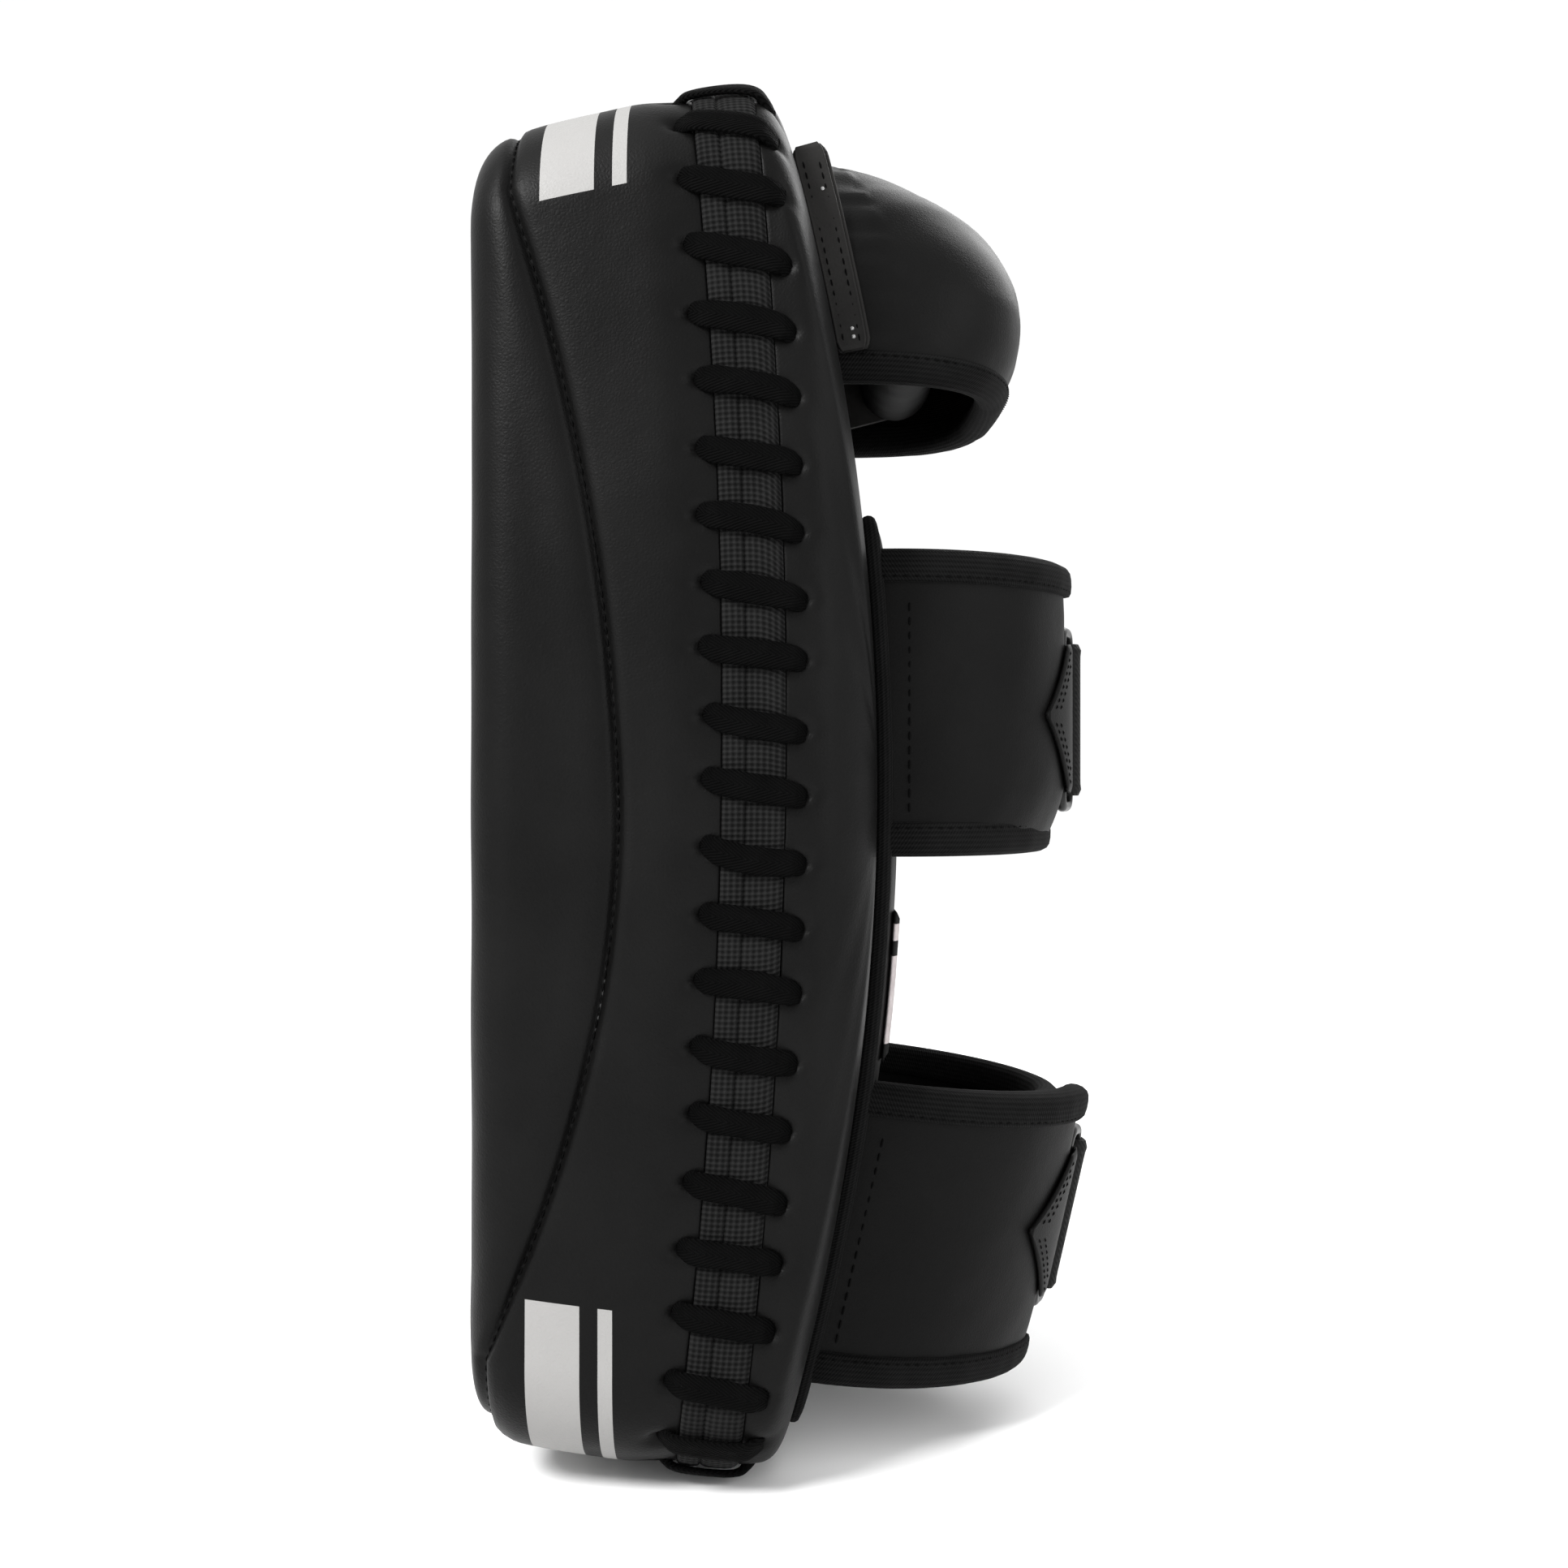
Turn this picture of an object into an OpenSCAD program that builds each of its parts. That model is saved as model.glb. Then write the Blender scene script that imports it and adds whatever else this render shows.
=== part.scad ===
// Thai pad: a laced leather kick shield for the forearm, standing on its lower end.
// +Z runs from the elbow end up to the hand end, -Y is out of the striking face,
// and X is across the pad. The origin is under the middle of the whole pad.

/* [Body] */
// Width of the body
body_w = 200; // [180:1:220]
// Height of the body at its tallest, without the lace
body_h = 398; // [386:1:406]
// Thickness of the body at its thickest
body_t = 115; // [100:1:125]
// Radius of the corners seen from the front
corner_r = 32; // [26:1:40]
// Radius of the long edges round the striking face
front_r = 14; // [8:1:18]
// Radius of the long edges at the back
back_r = 28; // [18:1:32]
// Thickness of the leather covers
leather_t = 2; // [1.4:0.1:2.4]
// Thickness of the soft foam under the striking face
soft_foam_t = 38; // [25:1:45]
// Thickness of the stiff board under the back
board_t = 10; // [6:1:12]

/* [Lacing] */
// Width of the two bound edges under the lace, together
webbing_w = 16.5; // [12:0.5:20]
// Distance of each row of lace slots from the middle of the lacing
slot_offset = 12.7; // [11:0.1:14]
// Number of lace stitches round the whole pad
stitches = 62; // [50:1:70]
// Width of the flat lace
lace_w = 7.6; // [6:0.2:9]
// Thickness of the flat lace
lace_t = 2.2; // [1.6:0.1:2.6]

/* [Arm pad] */
// Width of the arm pad on the back, with its binding
arm_pad_w = 136; // [120:1:140]
// Height of the arm pad's top edge
arm_pad_top = 279; // [270:1:285]
// Thickness of the arm pad where the cuffs are
arm_pad_t = 7.5; // [5:0.1:9]

/* [Cuffs] */
// Height of the middle of the upper cuff
upper_cuff_z = 224; // [215:1:230]
// Height of the middle of the lower cuff
lower_cuff_z = 68; // [62:1:74]
// Height of a cuff along the arm
cuff_h = 88; // [78:1:92]
// Lean of the lower cuff
lower_lean = 13; // [8:1:16]
// Width of the closure straps
strap_w = 50; // [44:1:52]
// Diameter of the ring wire
wire_d = 3.8; // [3:0.1:4.2]

/* [Fist guard and grip] */
// Half width of the fist guard
guard_a = 66; // [60:1:70]
// How far the fist guard reaches behind the body
guard_b = 63.5; // [55:0.5:66]
// Height of the fist guard's rim
guard_rim = 320; // [314:1:326]
// Outer diameter of the grip
grip_d = 24; // [20:1:28]
// Length of the grip between its end tabs
grip_l = 88; // [82:1:92]

/* [Hidden] */

// The striking face's distance in front of the origin
setback = 94.2;
// A cut that passes clean through the pad
through = 600;
// A gap that keeps two touching pieces from sharing volume
touch = 0.05;

half_w = body_w / 2;
// Height at which the pad is thickest
mid_z = 200;
// The back is a shallow parabola: this much thinner per square millimetre from mid_z
back_curve = 0.00073;
// The two ends slope a little: the top rises and the bottom falls towards the back
top_front = body_h - 12.5;
top_slope = 0.2;
bottom_front = 12;
bottom_slope = -0.14;
// Softness of the corner between each end and the back
end_round = 8;

leather = [0.11, 0.11, 0.105];
webbing = [0.07, 0.07, 0.07];
foam = [0.25, 0.27, 0.30];
steel = [0.05, 0.05, 0.055];

// Places are written as [x, depth, z], depth being measured back from the striking face.
module at_pad() {
    translate([0, -setback, 0])
        children();
}

// --- Shape of the body ---

// How far the long edges have drawn in at a depth, for a body inset by k
function edge_draw(depth, k) =
    let (f = max(front_r - k, 1), b = max(back_r - k, 1), t = body_t - k)
    depth - k < f ? f - sqrt(max(f * f - pow(f - (depth - k), 2), 0))
    : depth > t - b ? b - sqrt(max(b * b - pow(depth - t + b, 2), 0))
    : 0;
// Height at which the parabola of the back is reached, above or below mid_z
function back_reach(depth) = sqrt(max(body_t - depth, 0) / back_curve);
function front_draw(depth, k) = depth < body_t / 2 ? edge_draw(depth, k) : 0;
function soft_min(a, b) = (a + b) / 2 - sqrt(pow(a - b, 2) / 4 + end_round * end_round);
function body_top(depth, k) =
    soft_min(top_front + top_slope * depth, mid_z + back_reach(depth + k)) - k - front_draw(depth, k);
function body_bottom(depth, k) =
    -soft_min(-bottom_front - bottom_slope * depth, back_reach(depth + k) - mid_z) + k + front_draw(depth, k);

// Depths at which the body's outline is drawn
section_depths = [0, 0.07, 0.25, 0.55, 1];
function body_depths(k) = concat(
    [for (s = section_depths) k + front_r * s],
    [36, 62, 74, 82, 88],
    [for (s = [0.3, 0.5, 0.68, 0.83, 0.94, 1]) (body_t - k) - (body_t - k - 86) * (1 - s)]
);

// Sides of the arc at each corner of the outline
corner_sides = 8;
corners = [[1, -1, -90], [1, 1, 0], [-1, 1, 90], [-1, -1, 180]];

// The outline at a depth: a rectangle with round corners
function section_ring(depth, k) =
    let (
        w = half_w - k - edge_draw(depth, k),
        lo = body_bottom(depth, k),
        hi = body_top(depth, k),
        r = max(corner_r - k - edge_draw(depth, k), 10)
    )
    [for (c = corners) for (i = [0 : corner_sides])
        let (a = c[2] + 90 * i / corner_sides)
        [c[0] * (w - r) + r * cos(a), depth, (c[1] > 0 ? hi - r : lo + r) + r * sin(a)]];

// A closed skin over a list of rings that each have the same number of points
module loft(rings) {
    n = len(rings);
    m = len(rings[0]);
    polyhedron(
        points = [for (r = rings) each r],
        faces = concat(
            [[for (k = [m - 1 : -1 : 0]) k]],
            [for (i = [0 : n - 2]) for (k = [0 : m - 1])
                let (here = i * m, next = here + m, turn = (k + 1) % m)
                each [[here + k, here + turn, next + turn], [here + k, next + turn, next + k]]],
            [[for (k = [0 : m - 1]) (n - 1) * m + k]]
        )
    );
}

// The whole body, with every face moved in by k
module body_solid(k = 0) {
    loft([for (depth = body_depths(k)) section_ring(depth, k)]);
}

// Profile of the back at the middle of the pad, seen from the side
function back_depth(z) = body_t - back_curve * pow(z - mid_z, 2);

// A shape drawn in depth and height, carried across the pad from x0 to x1
module across(x0, x1) {
    multmatrix([[0, 0, 1, x0], [1, 0, 0, 0], [0, 1, 0, 0], [0, 0, 0, 1]])
        linear_extrude(x1 - x0)
            children();
}

module across_all() {
    across(-through / 2, through / 2)
        children();
}

// --- Seams ---

// Seam between the face panel and the gusset: furthest back at mid height
seam_z = 190;
function seam_depth(z) = z > seam_z
    ? 42.4 - 30.2 * pow(min((z - seam_z) / 185, 1), 1.8)
    : 42.4 - 38.3 * pow(min((seam_z - z) / 158, 1), 1.8);
// Middle of the lacing
function lace_depth(z) = 79.8 - 0.0003 * pow(z - 220, 2);
seam_heights = [for (i = [0 : 16]) -10 + i * 26];

// Everything in front of a curve, less a margin
module in_front(kind, margin = 0) {
    across_all()
        polygon(concat(
            [[-50, 426], [-50, -30]],
            [for (z = seam_heights) [(kind == "seam" ? seam_depth(z) : lace_depth(z)) + margin, z]],
            [[lace_depth(393) + margin, 426]]
        ));
}

module leather_shell() {
    difference() {
        body_solid(0);
        body_solid(leather_t);
    }
}

module face_panel() {
    color(leather)
        at_pad()
            intersection() {
                leather_shell();
                in_front("seam");
            }
}

module side_gusset() {
    color(leather)
        at_pad()
            difference() {
                intersection() {
                    leather_shell();
                    in_front("lacing", -webbing_w / 2);
                }
                in_front("seam");
            }
}

module back_cover() {
    color(leather)
        at_pad()
            difference() {
                leather_shell();
                in_front("lacing", webbing_w / 2);
            }
}

// One bound edge: a band a little thicker than the leather it covers
module edge_band(from, to) {
    difference() {
        intersection() {
            body_solid(-0.8);
            in_front("lacing", to);
        }
        body_solid(leather_t + 0.6);
        in_front("lacing", from);
    }
}

module front_edge_binding() {
    color(webbing)
        at_pad()
            edge_band(-webbing_w / 2, -1.4);
}

module rear_edge_binding() {
    color(webbing)
        at_pad()
            edge_band(-1.4, webbing_w / 2);
}

// --- Padding inside ---

// Room for the lace where it runs under the leather
module lace_channel() {
    difference() {
        body_solid(-2);
        body_solid(leather_t + 3.2);
        in_front("lacing", -slot_offset - 4);
    }
}

module padding(from, to) {
    difference() {
        intersection() {
            body_solid(leather_t + touch);
            translate([-through / 2, from, -through / 2])
                cube([through, to - from, through * 2]);
        }
        intersection() {
            lace_channel();
            in_front("lacing", slot_offset + 4);
        }
    }
}

module soft_foam() {
    color("darkslateblue")
        at_pad()
            padding(0, soft_foam_t);
}

module dense_foam() {
    color(foam)
        at_pad()
            padding(soft_foam_t, body_t - leather_t - board_t);
}

module back_board() {
    color("dimgray")
        at_pad()
            difference() {
                body_solid(leather_t + touch);
                translate([-through / 2, -through, -through / 2])
                    cube([through, through + body_t - leather_t - board_t, through * 2]);
            }
}

// --- Lace ---

// The lace is whip-stitched round the rim of the body. A place on the rim is a distance
// measured along it, from the middle of the lower end towards +X.
rim_lo = body_bottom(lace_depth(0), 0);
rim_hi = body_top(lace_depth(body_h), 0);
rim_flat = half_w - corner_r;
rim_side = rim_hi - rim_lo - 2 * corner_r;
rim_arc = PI * corner_r / 2;
rim_length = 4 * rim_flat + 2 * rim_side + 4 * rim_arc;
stitch_pitch = rim_length / stitches;
// Each strand slopes this far along the rim, and dips this far under the leather
stitch_slope = -3;
under_dip = 3.6;
over_rise = 2.3;

function corner_point(cx, cz, start, s) =
    let (a = start + s / corner_r * 180 / PI)
    [cx + corner_r * cos(a), cz + corner_r * sin(a), a];
// Place on the rim as [x, z, direction of the outward normal in degrees]
function rim_point(s) =
    let (
        c = rim_flat, zl = rim_lo + corner_r, zh = rim_hi - corner_r,
        s1 = c, s2 = s1 + rim_arc, s3 = s2 + rim_side, s4 = s3 + rim_arc,
        s5 = s4 + 2 * c, s6 = s5 + rim_arc, s7 = s6 + rim_side, s8 = s7 + rim_arc
    )
    s < s1 ? [s, rim_lo, -90]
    : s < s2 ? corner_point(c, zl, -90, s - s1)
    : s < s3 ? [half_w, zl + s - s2, 0]
    : s < s4 ? corner_point(c, zh, 0, s - s3)
    : s < s5 ? [c - (s - s4), rim_hi, 90]
    : s < s6 ? corner_point(-c, zh, 90, s - s5)
    : s < s7 ? [-half_w, zh - (s - s6), 180]
    : s < s8 ? corner_point(-c, zl, 180, s - s7)
    : [-c + s - s8, rim_lo, 270];

// Place of a point on the lace: along the rim, off the lacing's middle, and above the leather
function lace_place(s, off, up) =
    let (p = rim_point((s + rim_length) % rim_length))
    [p[0] + up * cos(p[2]), lace_depth(p[1]) + off, p[1] + up * sin(p[2])];
// One stitch: up through the front slot, over the bound edges, down and back underneath
stitch_path = [
    [0, -slot_offset, -1.6],
    [0.1, -slot_offset + 2.4, 1.9],
    [0.5, 0, over_rise],
    [0.9, slot_offset - 2.4, 1.9],
    [1, slot_offset, -1.6]
];
lace_route = [
    for (i = [0 : stitches - 1])
        for (j = [0 : 5])
            let (s0 = (i + 0.5) * stitch_pitch)
            j < 5 ? [s0 + stitch_slope * stitch_path[j][0], stitch_path[j][1], stitch_path[j][2]]
                  : [s0 + (stitch_pitch + stitch_slope) / 2, 0, -under_dip]
];
lace_points = [for (p = lace_route) lace_place(p[0], p[1], p[2])];
lace_sides = 6;

function unit(v) = v / norm(v);
function lace_ring(i) =
    let (
        n = len(lace_points),
        here = lace_points[i],
        ahead = i < n - 1 ? unit(lace_points[i + 1] - here) : unit(here - lace_points[i - 1]),
        behind = i > 0 ? unit(here - lace_points[i - 1]) : ahead,
        along = unit(ahead + behind),
        a = rim_point((lace_route[i][0] + rim_length) % rim_length)[2],
        rim_way = [-sin(a), 0, cos(a)],
        wide = unit(rim_way - (rim_way * along) * along),
        thick = cross(along, wide)
    )
    [for (k = [0 : lace_sides - 1])
        let (b = -360 * (k + 0.5) / lace_sides)
        here + wide * lace_w / 2 * cos(b) / cos(30) + thick * lace_t / 2 * sin(b)];

module lace() {
    color("black")
        at_pad()
            loft([for (i = [0 : len(lace_points) - 1]) lace_ring(i)]);
}

// Height of the knot over the leather
knot_rise = 2.1;

module lace_knot() {
    place = lace_place(0, 0, knot_rise);
    color("black")
        at_pad()
            translate(place)
                hull()
                    for (x = [-2.5, 2.5], d = [-4, 4])
                        translate([x, d, body_bottom(lace_depth(0) + d, 0) - rim_lo])
                            sphere(1.2, $fn = 16);
}

// --- Arm pad ---

pad_low = 12;
// The arm pad thins below the lower cuff's top edge
thin_below = 110;
function pad_t(z) = z > thin_below ? arm_pad_t : max(arm_pad_t - (thin_below - z) * 0.062, 1.6);
function pad_face(z) = back_depth(z) + touch + pad_t(z);

module arm_layer(from, to, inset) {
    lo = pad_low + inset;
    hi = arm_pad_top - inset;
    zs = [for (i = [0 : 12]) lo + (hi - lo) * i / 12];
    across(-arm_pad_w / 2 + inset, arm_pad_w / 2 - inset)
        polygon(concat(
            [for (z = zs) [back_depth(z) + touch + from * pad_t(z), z]],
            [for (i = [12 : -1 : 0]) [back_depth(zs[i]) + touch + to * pad_t(zs[i]), zs[i]]]
        ));
}

// Everything in front of the arm pad's outer face
module arm_mass() {
    across_all()
        polygon(concat(
            [[-50, arm_pad_top + 10], [-50, -40], [back_depth(-40), -40]],
            [for (i = [0 : 12])
                let (z = pad_low + (arm_pad_top - pad_low) * i / 12)
                [pad_face(z) + touch, z]],
            [[pad_face(arm_pad_top), arm_pad_top + 10]]
        ));
}

module arm_pad_foam() {
    color(foam)
        at_pad()
            arm_layer(0, 0.78, 3);
}

module arm_pad_cover() {
    color(leather)
        at_pad()
            arm_layer(0.78, 1, 3);
}

module arm_pad_binding() {
    color(webbing)
        at_pad()
            difference() {
                arm_layer(0, 1, 0);
                arm_layer(-0.2, 1.2, 3);
            }
}

// Thickness of the label sewn to the arm pad
label_t = 0.8;

module arm_pad_label() {
    zs = [for (i = [0 : 4]) 118 + 11 * i];
    color("gray")
        at_pad()
            across(-28, 60)
                polygon(concat(
                    [for (z = zs) [pad_face(z) + touch, z]],
                    [for (i = [4 : -1 : 0]) [pad_face(zs[i]) + label_t, zs[i]]]
                ));
}

// --- Fist guard ---

// Height where the guard is widest, and how far it reaches above that
guard_mid = 346;
guard_up = 48;
guard_base = 100;
guard_wall = [0, 1.8, 6.2, 7.4];
function guard_span(z, k) = guard_up - (z > guard_mid ? k : 0);
// The guard is squarish below its widest height and rounder above it
function guard_reach(z, k) =
    (guard_b - k) * sqrt(1 - pow(min(abs(z - guard_mid) / guard_span(z, k), 1), z > guard_mid ? 2.1 : 2.4));
function guard_half(z, k) =
    (guard_a - k) * sqrt(1 - pow(min(abs(z - guard_mid) / (guard_span(z, k) + 4), 1), z > guard_mid ? 2.6 : 4));
// Its outline seen from above goes from a squarish half oval to a plain one at the crown
function guard_square(z) = 2 / 3 + (z > guard_mid ? min(1.4 * (z - guard_mid) / guard_up, 1) / 3 : 0);
guard_steps = [0, 0.1, 0.22, 0.36, 0.5, 0.64, 0.77, 0.88, 0.96, 0.995];

module guard_dome(k, low) {
    top = guard_mid + guard_up - k;
    hull()
        for (z = concat([low], [for (s = guard_steps) guard_rim + (top - guard_rim) * s])) {
            translate([0, guard_base, z])
                linear_extrude(0.01)
                    polygon(concat(
                        [[guard_half(z, k), -20], [-guard_half(z, k), -20]],
                        [for (a = [180 : -9 : 0])
                            [guard_half(z, k) * sign(cos(a)) * pow(abs(cos(a)), guard_square(z)),
                             guard_reach(z, k) * pow(sin(a), guard_square(z))]]
                    ));
        }
}

module guard_layer(outer, inner) {
    difference() {
        guard_dome(outer, guard_rim);
        guard_dome(inner, guard_rim - 4);
        body_solid(-touch);
        in_front("lacing", slot_offset + 4);
    }
}

module guard_leather() {
    color(leather)
        at_pad()
            guard_layer(guard_wall[0], guard_wall[1]);
}

module guard_foam() {
    color(foam)
        at_pad()
            guard_layer(guard_wall[1], guard_wall[2]);
}

module guard_lining() {
    color("black")
        at_pad()
            guard_layer(guard_wall[2], guard_wall[3]);
}

// Folded tape round the guard's lower rim
module guard_binding() {
    color(webbing)
        at_pad()
            difference() {
                intersection() {
                    guard_dome(-0.9, guard_rim - 1);
                    translate([-through / 2, 0, guard_rim - 1])
                        cube([through, through, 9]);
                }
                guard_dome(guard_wall[3] + 0.9, guard_rim - 5);
                difference() {
                    guard_dome(0, guard_rim);
                    guard_dome(guard_wall[3], guard_rim - 4);
                }
                body_solid(-touch);
            }
}

// Strips that stand on the back and sew the guard's two sides to it
flange_t = 4.2;
flange_up = 10.5;
module guard_flanges() {
    zs = [for (i = [0 : 5]) 326 + 12 * i];
    color(leather)
        at_pad()
            for (side = [-1, 1])
                difference() {
                    across(side > 0 ? guard_a - 1 : -guard_a - flange_t, side > 0 ? guard_a + flange_t : -guard_a + 1)
                        polygon(concat(
                            [for (z = zs) [back_depth(z) - 12, z]],
                            [for (i = [5 : -1 : 0]) [back_depth(zs[i]) + flange_up, zs[i]]]
                        ));
                    body_solid(-touch);
                    guard_dome(-1.1, guard_rim - 4);
                }
}

// --- Grip ---

grip_z = 340;
grip_depth = 127;
// Radius of each tab round the end of the grip
grip_tab_r = 10;
grip_tab_t = 3;
core_d = 14;
foam_d = 19;

module along_grip(length) {
    at_pad()
        translate([0, grip_depth, grip_z])
            rotate([0, 90, 0])
                linear_extrude(length, center = true)
                    children();
}

module tube_section(outer, inner) {
    difference() {
        circle(d = outer, $fn = 48);
        circle(d = inner, $fn = 48);
    }
}

module grip_core() {
    color("burlywood")
        along_grip(grip_l + 2 * grip_tab_t + 1)
            circle(d = core_d - 2 * touch, $fn = 48);
}

module grip_foam() {
    color(foam)
        along_grip(grip_l - 1)
            tube_section(foam_d, core_d);
}

module grip_leather() {
    color(leather)
        along_grip(grip_l - 0.2)
            tube_section(grip_d, foam_d + 2 * touch);
}

// Each tab holds one end of the core and turns outwards into a foot sewn to the back
rivet_zs = [grip_z - 10, grip_z + 10];
foot_w = 11;
module grip_tabs() {
    color(leather)
        at_pad()
            for (side = [-1, 1])
                mirror([side > 0 ? 0 : 1, 0, 0])
                    difference() {
                        union() {
                            across(grip_l / 2, grip_l / 2 + grip_tab_t)
                                hull() {
                                    translate([grip_depth, grip_z])
                                        circle(grip_tab_r, $fn = 32);
                                    translate([back_depth(grip_z) - 4, grip_z - 17])
                                        square([4, 34]);
                                }
                            across(grip_l / 2, grip_l / 2 + foot_w)
                                polygon([for (p = [[-6, -17], [-6, 17], [3, 17], [3, -17]])
                                    [back_depth(grip_z + p[1]) + p[0], grip_z + p[1]]]);
                        }
                        body_solid(-touch);
                        translate([0, grip_depth, grip_z])
                            rotate([0, 90, 0])
                                cylinder(d = core_d, h = through, $fn = 48);
                        rivet_holes();
                    }
}

module at_rivets() {
    for (z = rivet_zs)
        translate([grip_l / 2 + 7, back_depth(z) + 3, z])
            rotate([-90, 0, 0])
                children();
}

module rivet_holes() {
    at_rivets()
        translate([0, 0, -12])
            cylinder(d = 3.1, h = 30, $fn = 24);
}

module grip_rivets() {
    color(steel)
        at_pad()
            for (side = [-1, 1])
                mirror([side > 0 ? 0 : 1, 0, 0])
                    at_rivets() {
                        translate([0, 0, -4.5])
                            cylinder(d = 3, h = 5.5, $fn = 24);
                        translate([0, 0, 1])
                            cylinder(d = 7, h = 1.2, $fn = 24);
                    }
}

// --- Cuffs ---

// Each cuff is a pair of padded flaps that lap behind the arm. Distances from the
// arm space outwards, in millimetres: the far flap lies inside the near flap.
arm_a = 50.5;
far_k = [0, 6];
near_k = [8.5, 15.5];
strap_t = 2.2;
patch_t = 1.95;
bar_k = 16;
binding_h = 9;
// Radius at which the strap bends round the ring's bar
fold_r = wire_d / 2 + 0.28 + strap_t / 2;
ring_gap = 12;
// Directions round the cuff, in degrees from +X, at which its pieces begin and end
near_span = [-10, 74];
far_span = [50, 190];
lie_from = 120;
strap_end_at = 155;

function is_upper(c) = c == "upper";
function arm_b(c) = is_upper(c) ? 43 : 55;
function cuff_z(c) = is_upper(c) ? upper_cuff_z : lower_cuff_z;
function cuff_lean(c) = is_upper(c) ? 0 : lower_lean;
function cuff_rise(c) = is_upper(c) ? 0 : 0.11;
function closure_z(c) = is_upper(c) ? -3 : 7.6;
function bar_y(c) = arm_b(c) + bar_k;
function anchor_y(c) = (arm_b(c) + 13) * sqrt(1 - pow(ring_gap / (arm_a + 13), 2));

module cuff_frame(c) {
    at_pad()
        translate([0, pad_face(cuff_z(c)), cuff_z(c)])
            rotate([-cuff_lean(c), 0, 0])
                children();
}

function on_cuff(c, k, a) = [(arm_a + k) * cos(a), (arm_b(c) + k) * sin(a)];
// Directions from a to b, a step of 6 degrees or less apart
function span_angles(a, b) =
    let (n = ceil((b - a) / 6))
    [for (i = [0 : n]) a + (b - a) * i / n];

// A strip that lies round the cuff. middle is a list of distances, one for each direction
module strip(c, angles, middle, t, h) {
    n = len(angles) - 1;
    linear_extrude(h, center = true)
        polygon(concat(
            [for (i = [0 : n]) on_cuff(c, middle[i] + t / 2, angles[i])],
            [for (i = [n : -1 : 0]) on_cuff(c, middle[i] - t / 2, angles[i])]
        ));
}

module band(c, k, span, h) {
    angles = span_angles(span[0], span[1]);
    strip(c, angles, [for (a = angles) (k[0] + k[1]) / 2], k[1] - k[0], h);
}

// The space between two edges that rise as they go out from the back
module rim_zone(c, lo, hi) {
    rise = cuff_rise(c);
    across_all()
        polygon([[-20, lo - 20 * rise], [100, lo + 100 * rise], [100, hi + 100 * rise], [-20, hi - 20 * rise]]);
}

module flap(c, k, span, half_h) {
    intersection() {
        band(c, k, span, through);
        rim_zone(c, -half_h, half_h);
    }
}

// Folded tape along both edges of a flap
module flap_binding(c, k, span, half_h) {
    difference() {
        intersection() {
            band(c, [k[0] - 1, k[1] + 1], span, through);
            union() {
                rim_zone(c, half_h - binding_h, half_h + 1);
                rim_zone(c, -half_h - 1, -half_h + binding_h);
            }
        }
        flap(c, k, [span[0] - 6, span[1] + 6], half_h);
    }
}

module cuff_piece(c, tint) {
    color(tint)
        difference() {
            cuff_frame(c)
                children();
            at_pad()
                arm_mass();
        }
}

module near_flap(c) {
    cuff_piece(c, leather)
        flap(c, near_k, near_span, cuff_h / 2);
}

module near_binding(c) {
    cuff_piece(c, webbing)
        flap_binding(c, near_k, near_span, cuff_h / 2);
}

module far_flap(c) {
    cuff_piece(c, leather)
        flap(c, far_k, far_span, cuff_h / 2 - 4);
}

module far_binding(c) {
    cuff_piece(c, webbing)
        flap_binding(c, far_k, far_span, cuff_h / 2 - 4);
}

module bar(x, y, r, h) {
    translate([x, y, -h / 2])
        cylinder(r = r, h = h, $fn = 32);
}

ring_half = strap_w / 2 + 1.2 + wire_d / 2;

ring_corner = 3.5;

module ring(c) {
    from = [0, bar_y(c), closure_z(c)];
    run = [ring_gap, anchor_y(c) - bar_y(c)];
    w = norm(run);
    r = wire_d / 2;
    color(steel)
        cuff_frame(c)
            translate(from)
                rotate([0, 0, atan2(run[1], run[0])])
                    rotate([90, 0, 0]) {
                        for (x = [0, w])
                            translate([x, ring_corner - ring_half, 0])
                                rotate([-90, 0, 0])
                                    cylinder(r = r, h = 2 * (ring_half - ring_corner), $fn = 32);
                        for (z = [-ring_half, ring_half])
                            translate([ring_corner, z, 0])
                                rotate([0, 90, 0])
                                    cylinder(r = r, h = w - 2 * ring_corner, $fn = 32);
                        for (x = [0, w], z = [-ring_half, ring_half])
                            mirror([x > 0 ? 0 : 1, 0, 0])
                                translate([x > 0 ? w - ring_corner : -ring_corner, 0, 0])
                                    mirror([0, z > 0 ? 0 : 1, 0])
                                        translate([0, ring_half - ring_corner, 0])
                                            rotate_extrude(angle = 90, $fn = 48)
                                                translate([ring_corner, 0])
                                                    circle(r, $fn = 32);
                    }
}

// Pointed leather tab that holds the ring's fixed bar against the near flap
module anchor_tab(c) {
    y = anchor_y(c);
    color(leather)
        cuff_frame(c)
            translate([0, 0, closure_z(c)])
                difference() {
                    union() {
                        intersection() {
                            band(c, [near_k[1] + 0.1, near_k[1] + 1.6], [44, 80], strap_w);
                            rotate([90, 0, 0])
                                linear_extrude(through, center = true)
                                    polygon([[ring_gap, 24], [24, 23], [42, 0], [24, -23], [ring_gap, -24]]);
                        }
                        bar(ring_gap, y, wire_d / 2 + 2, strap_w - 2);
                    }
                    bar(ring_gap, y, wire_d / 2 + 0.05, through);
                }
}

function ease(a) = let (s = min(max((a - 90) / (lie_from - 90), 0), 1)) s * s * (3 - 2 * s);
lie_k = far_k[1] + touch + strap_t / 2;
tab_k = lie_k + strap_t + 2 * patch_t + 0.5;

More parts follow.
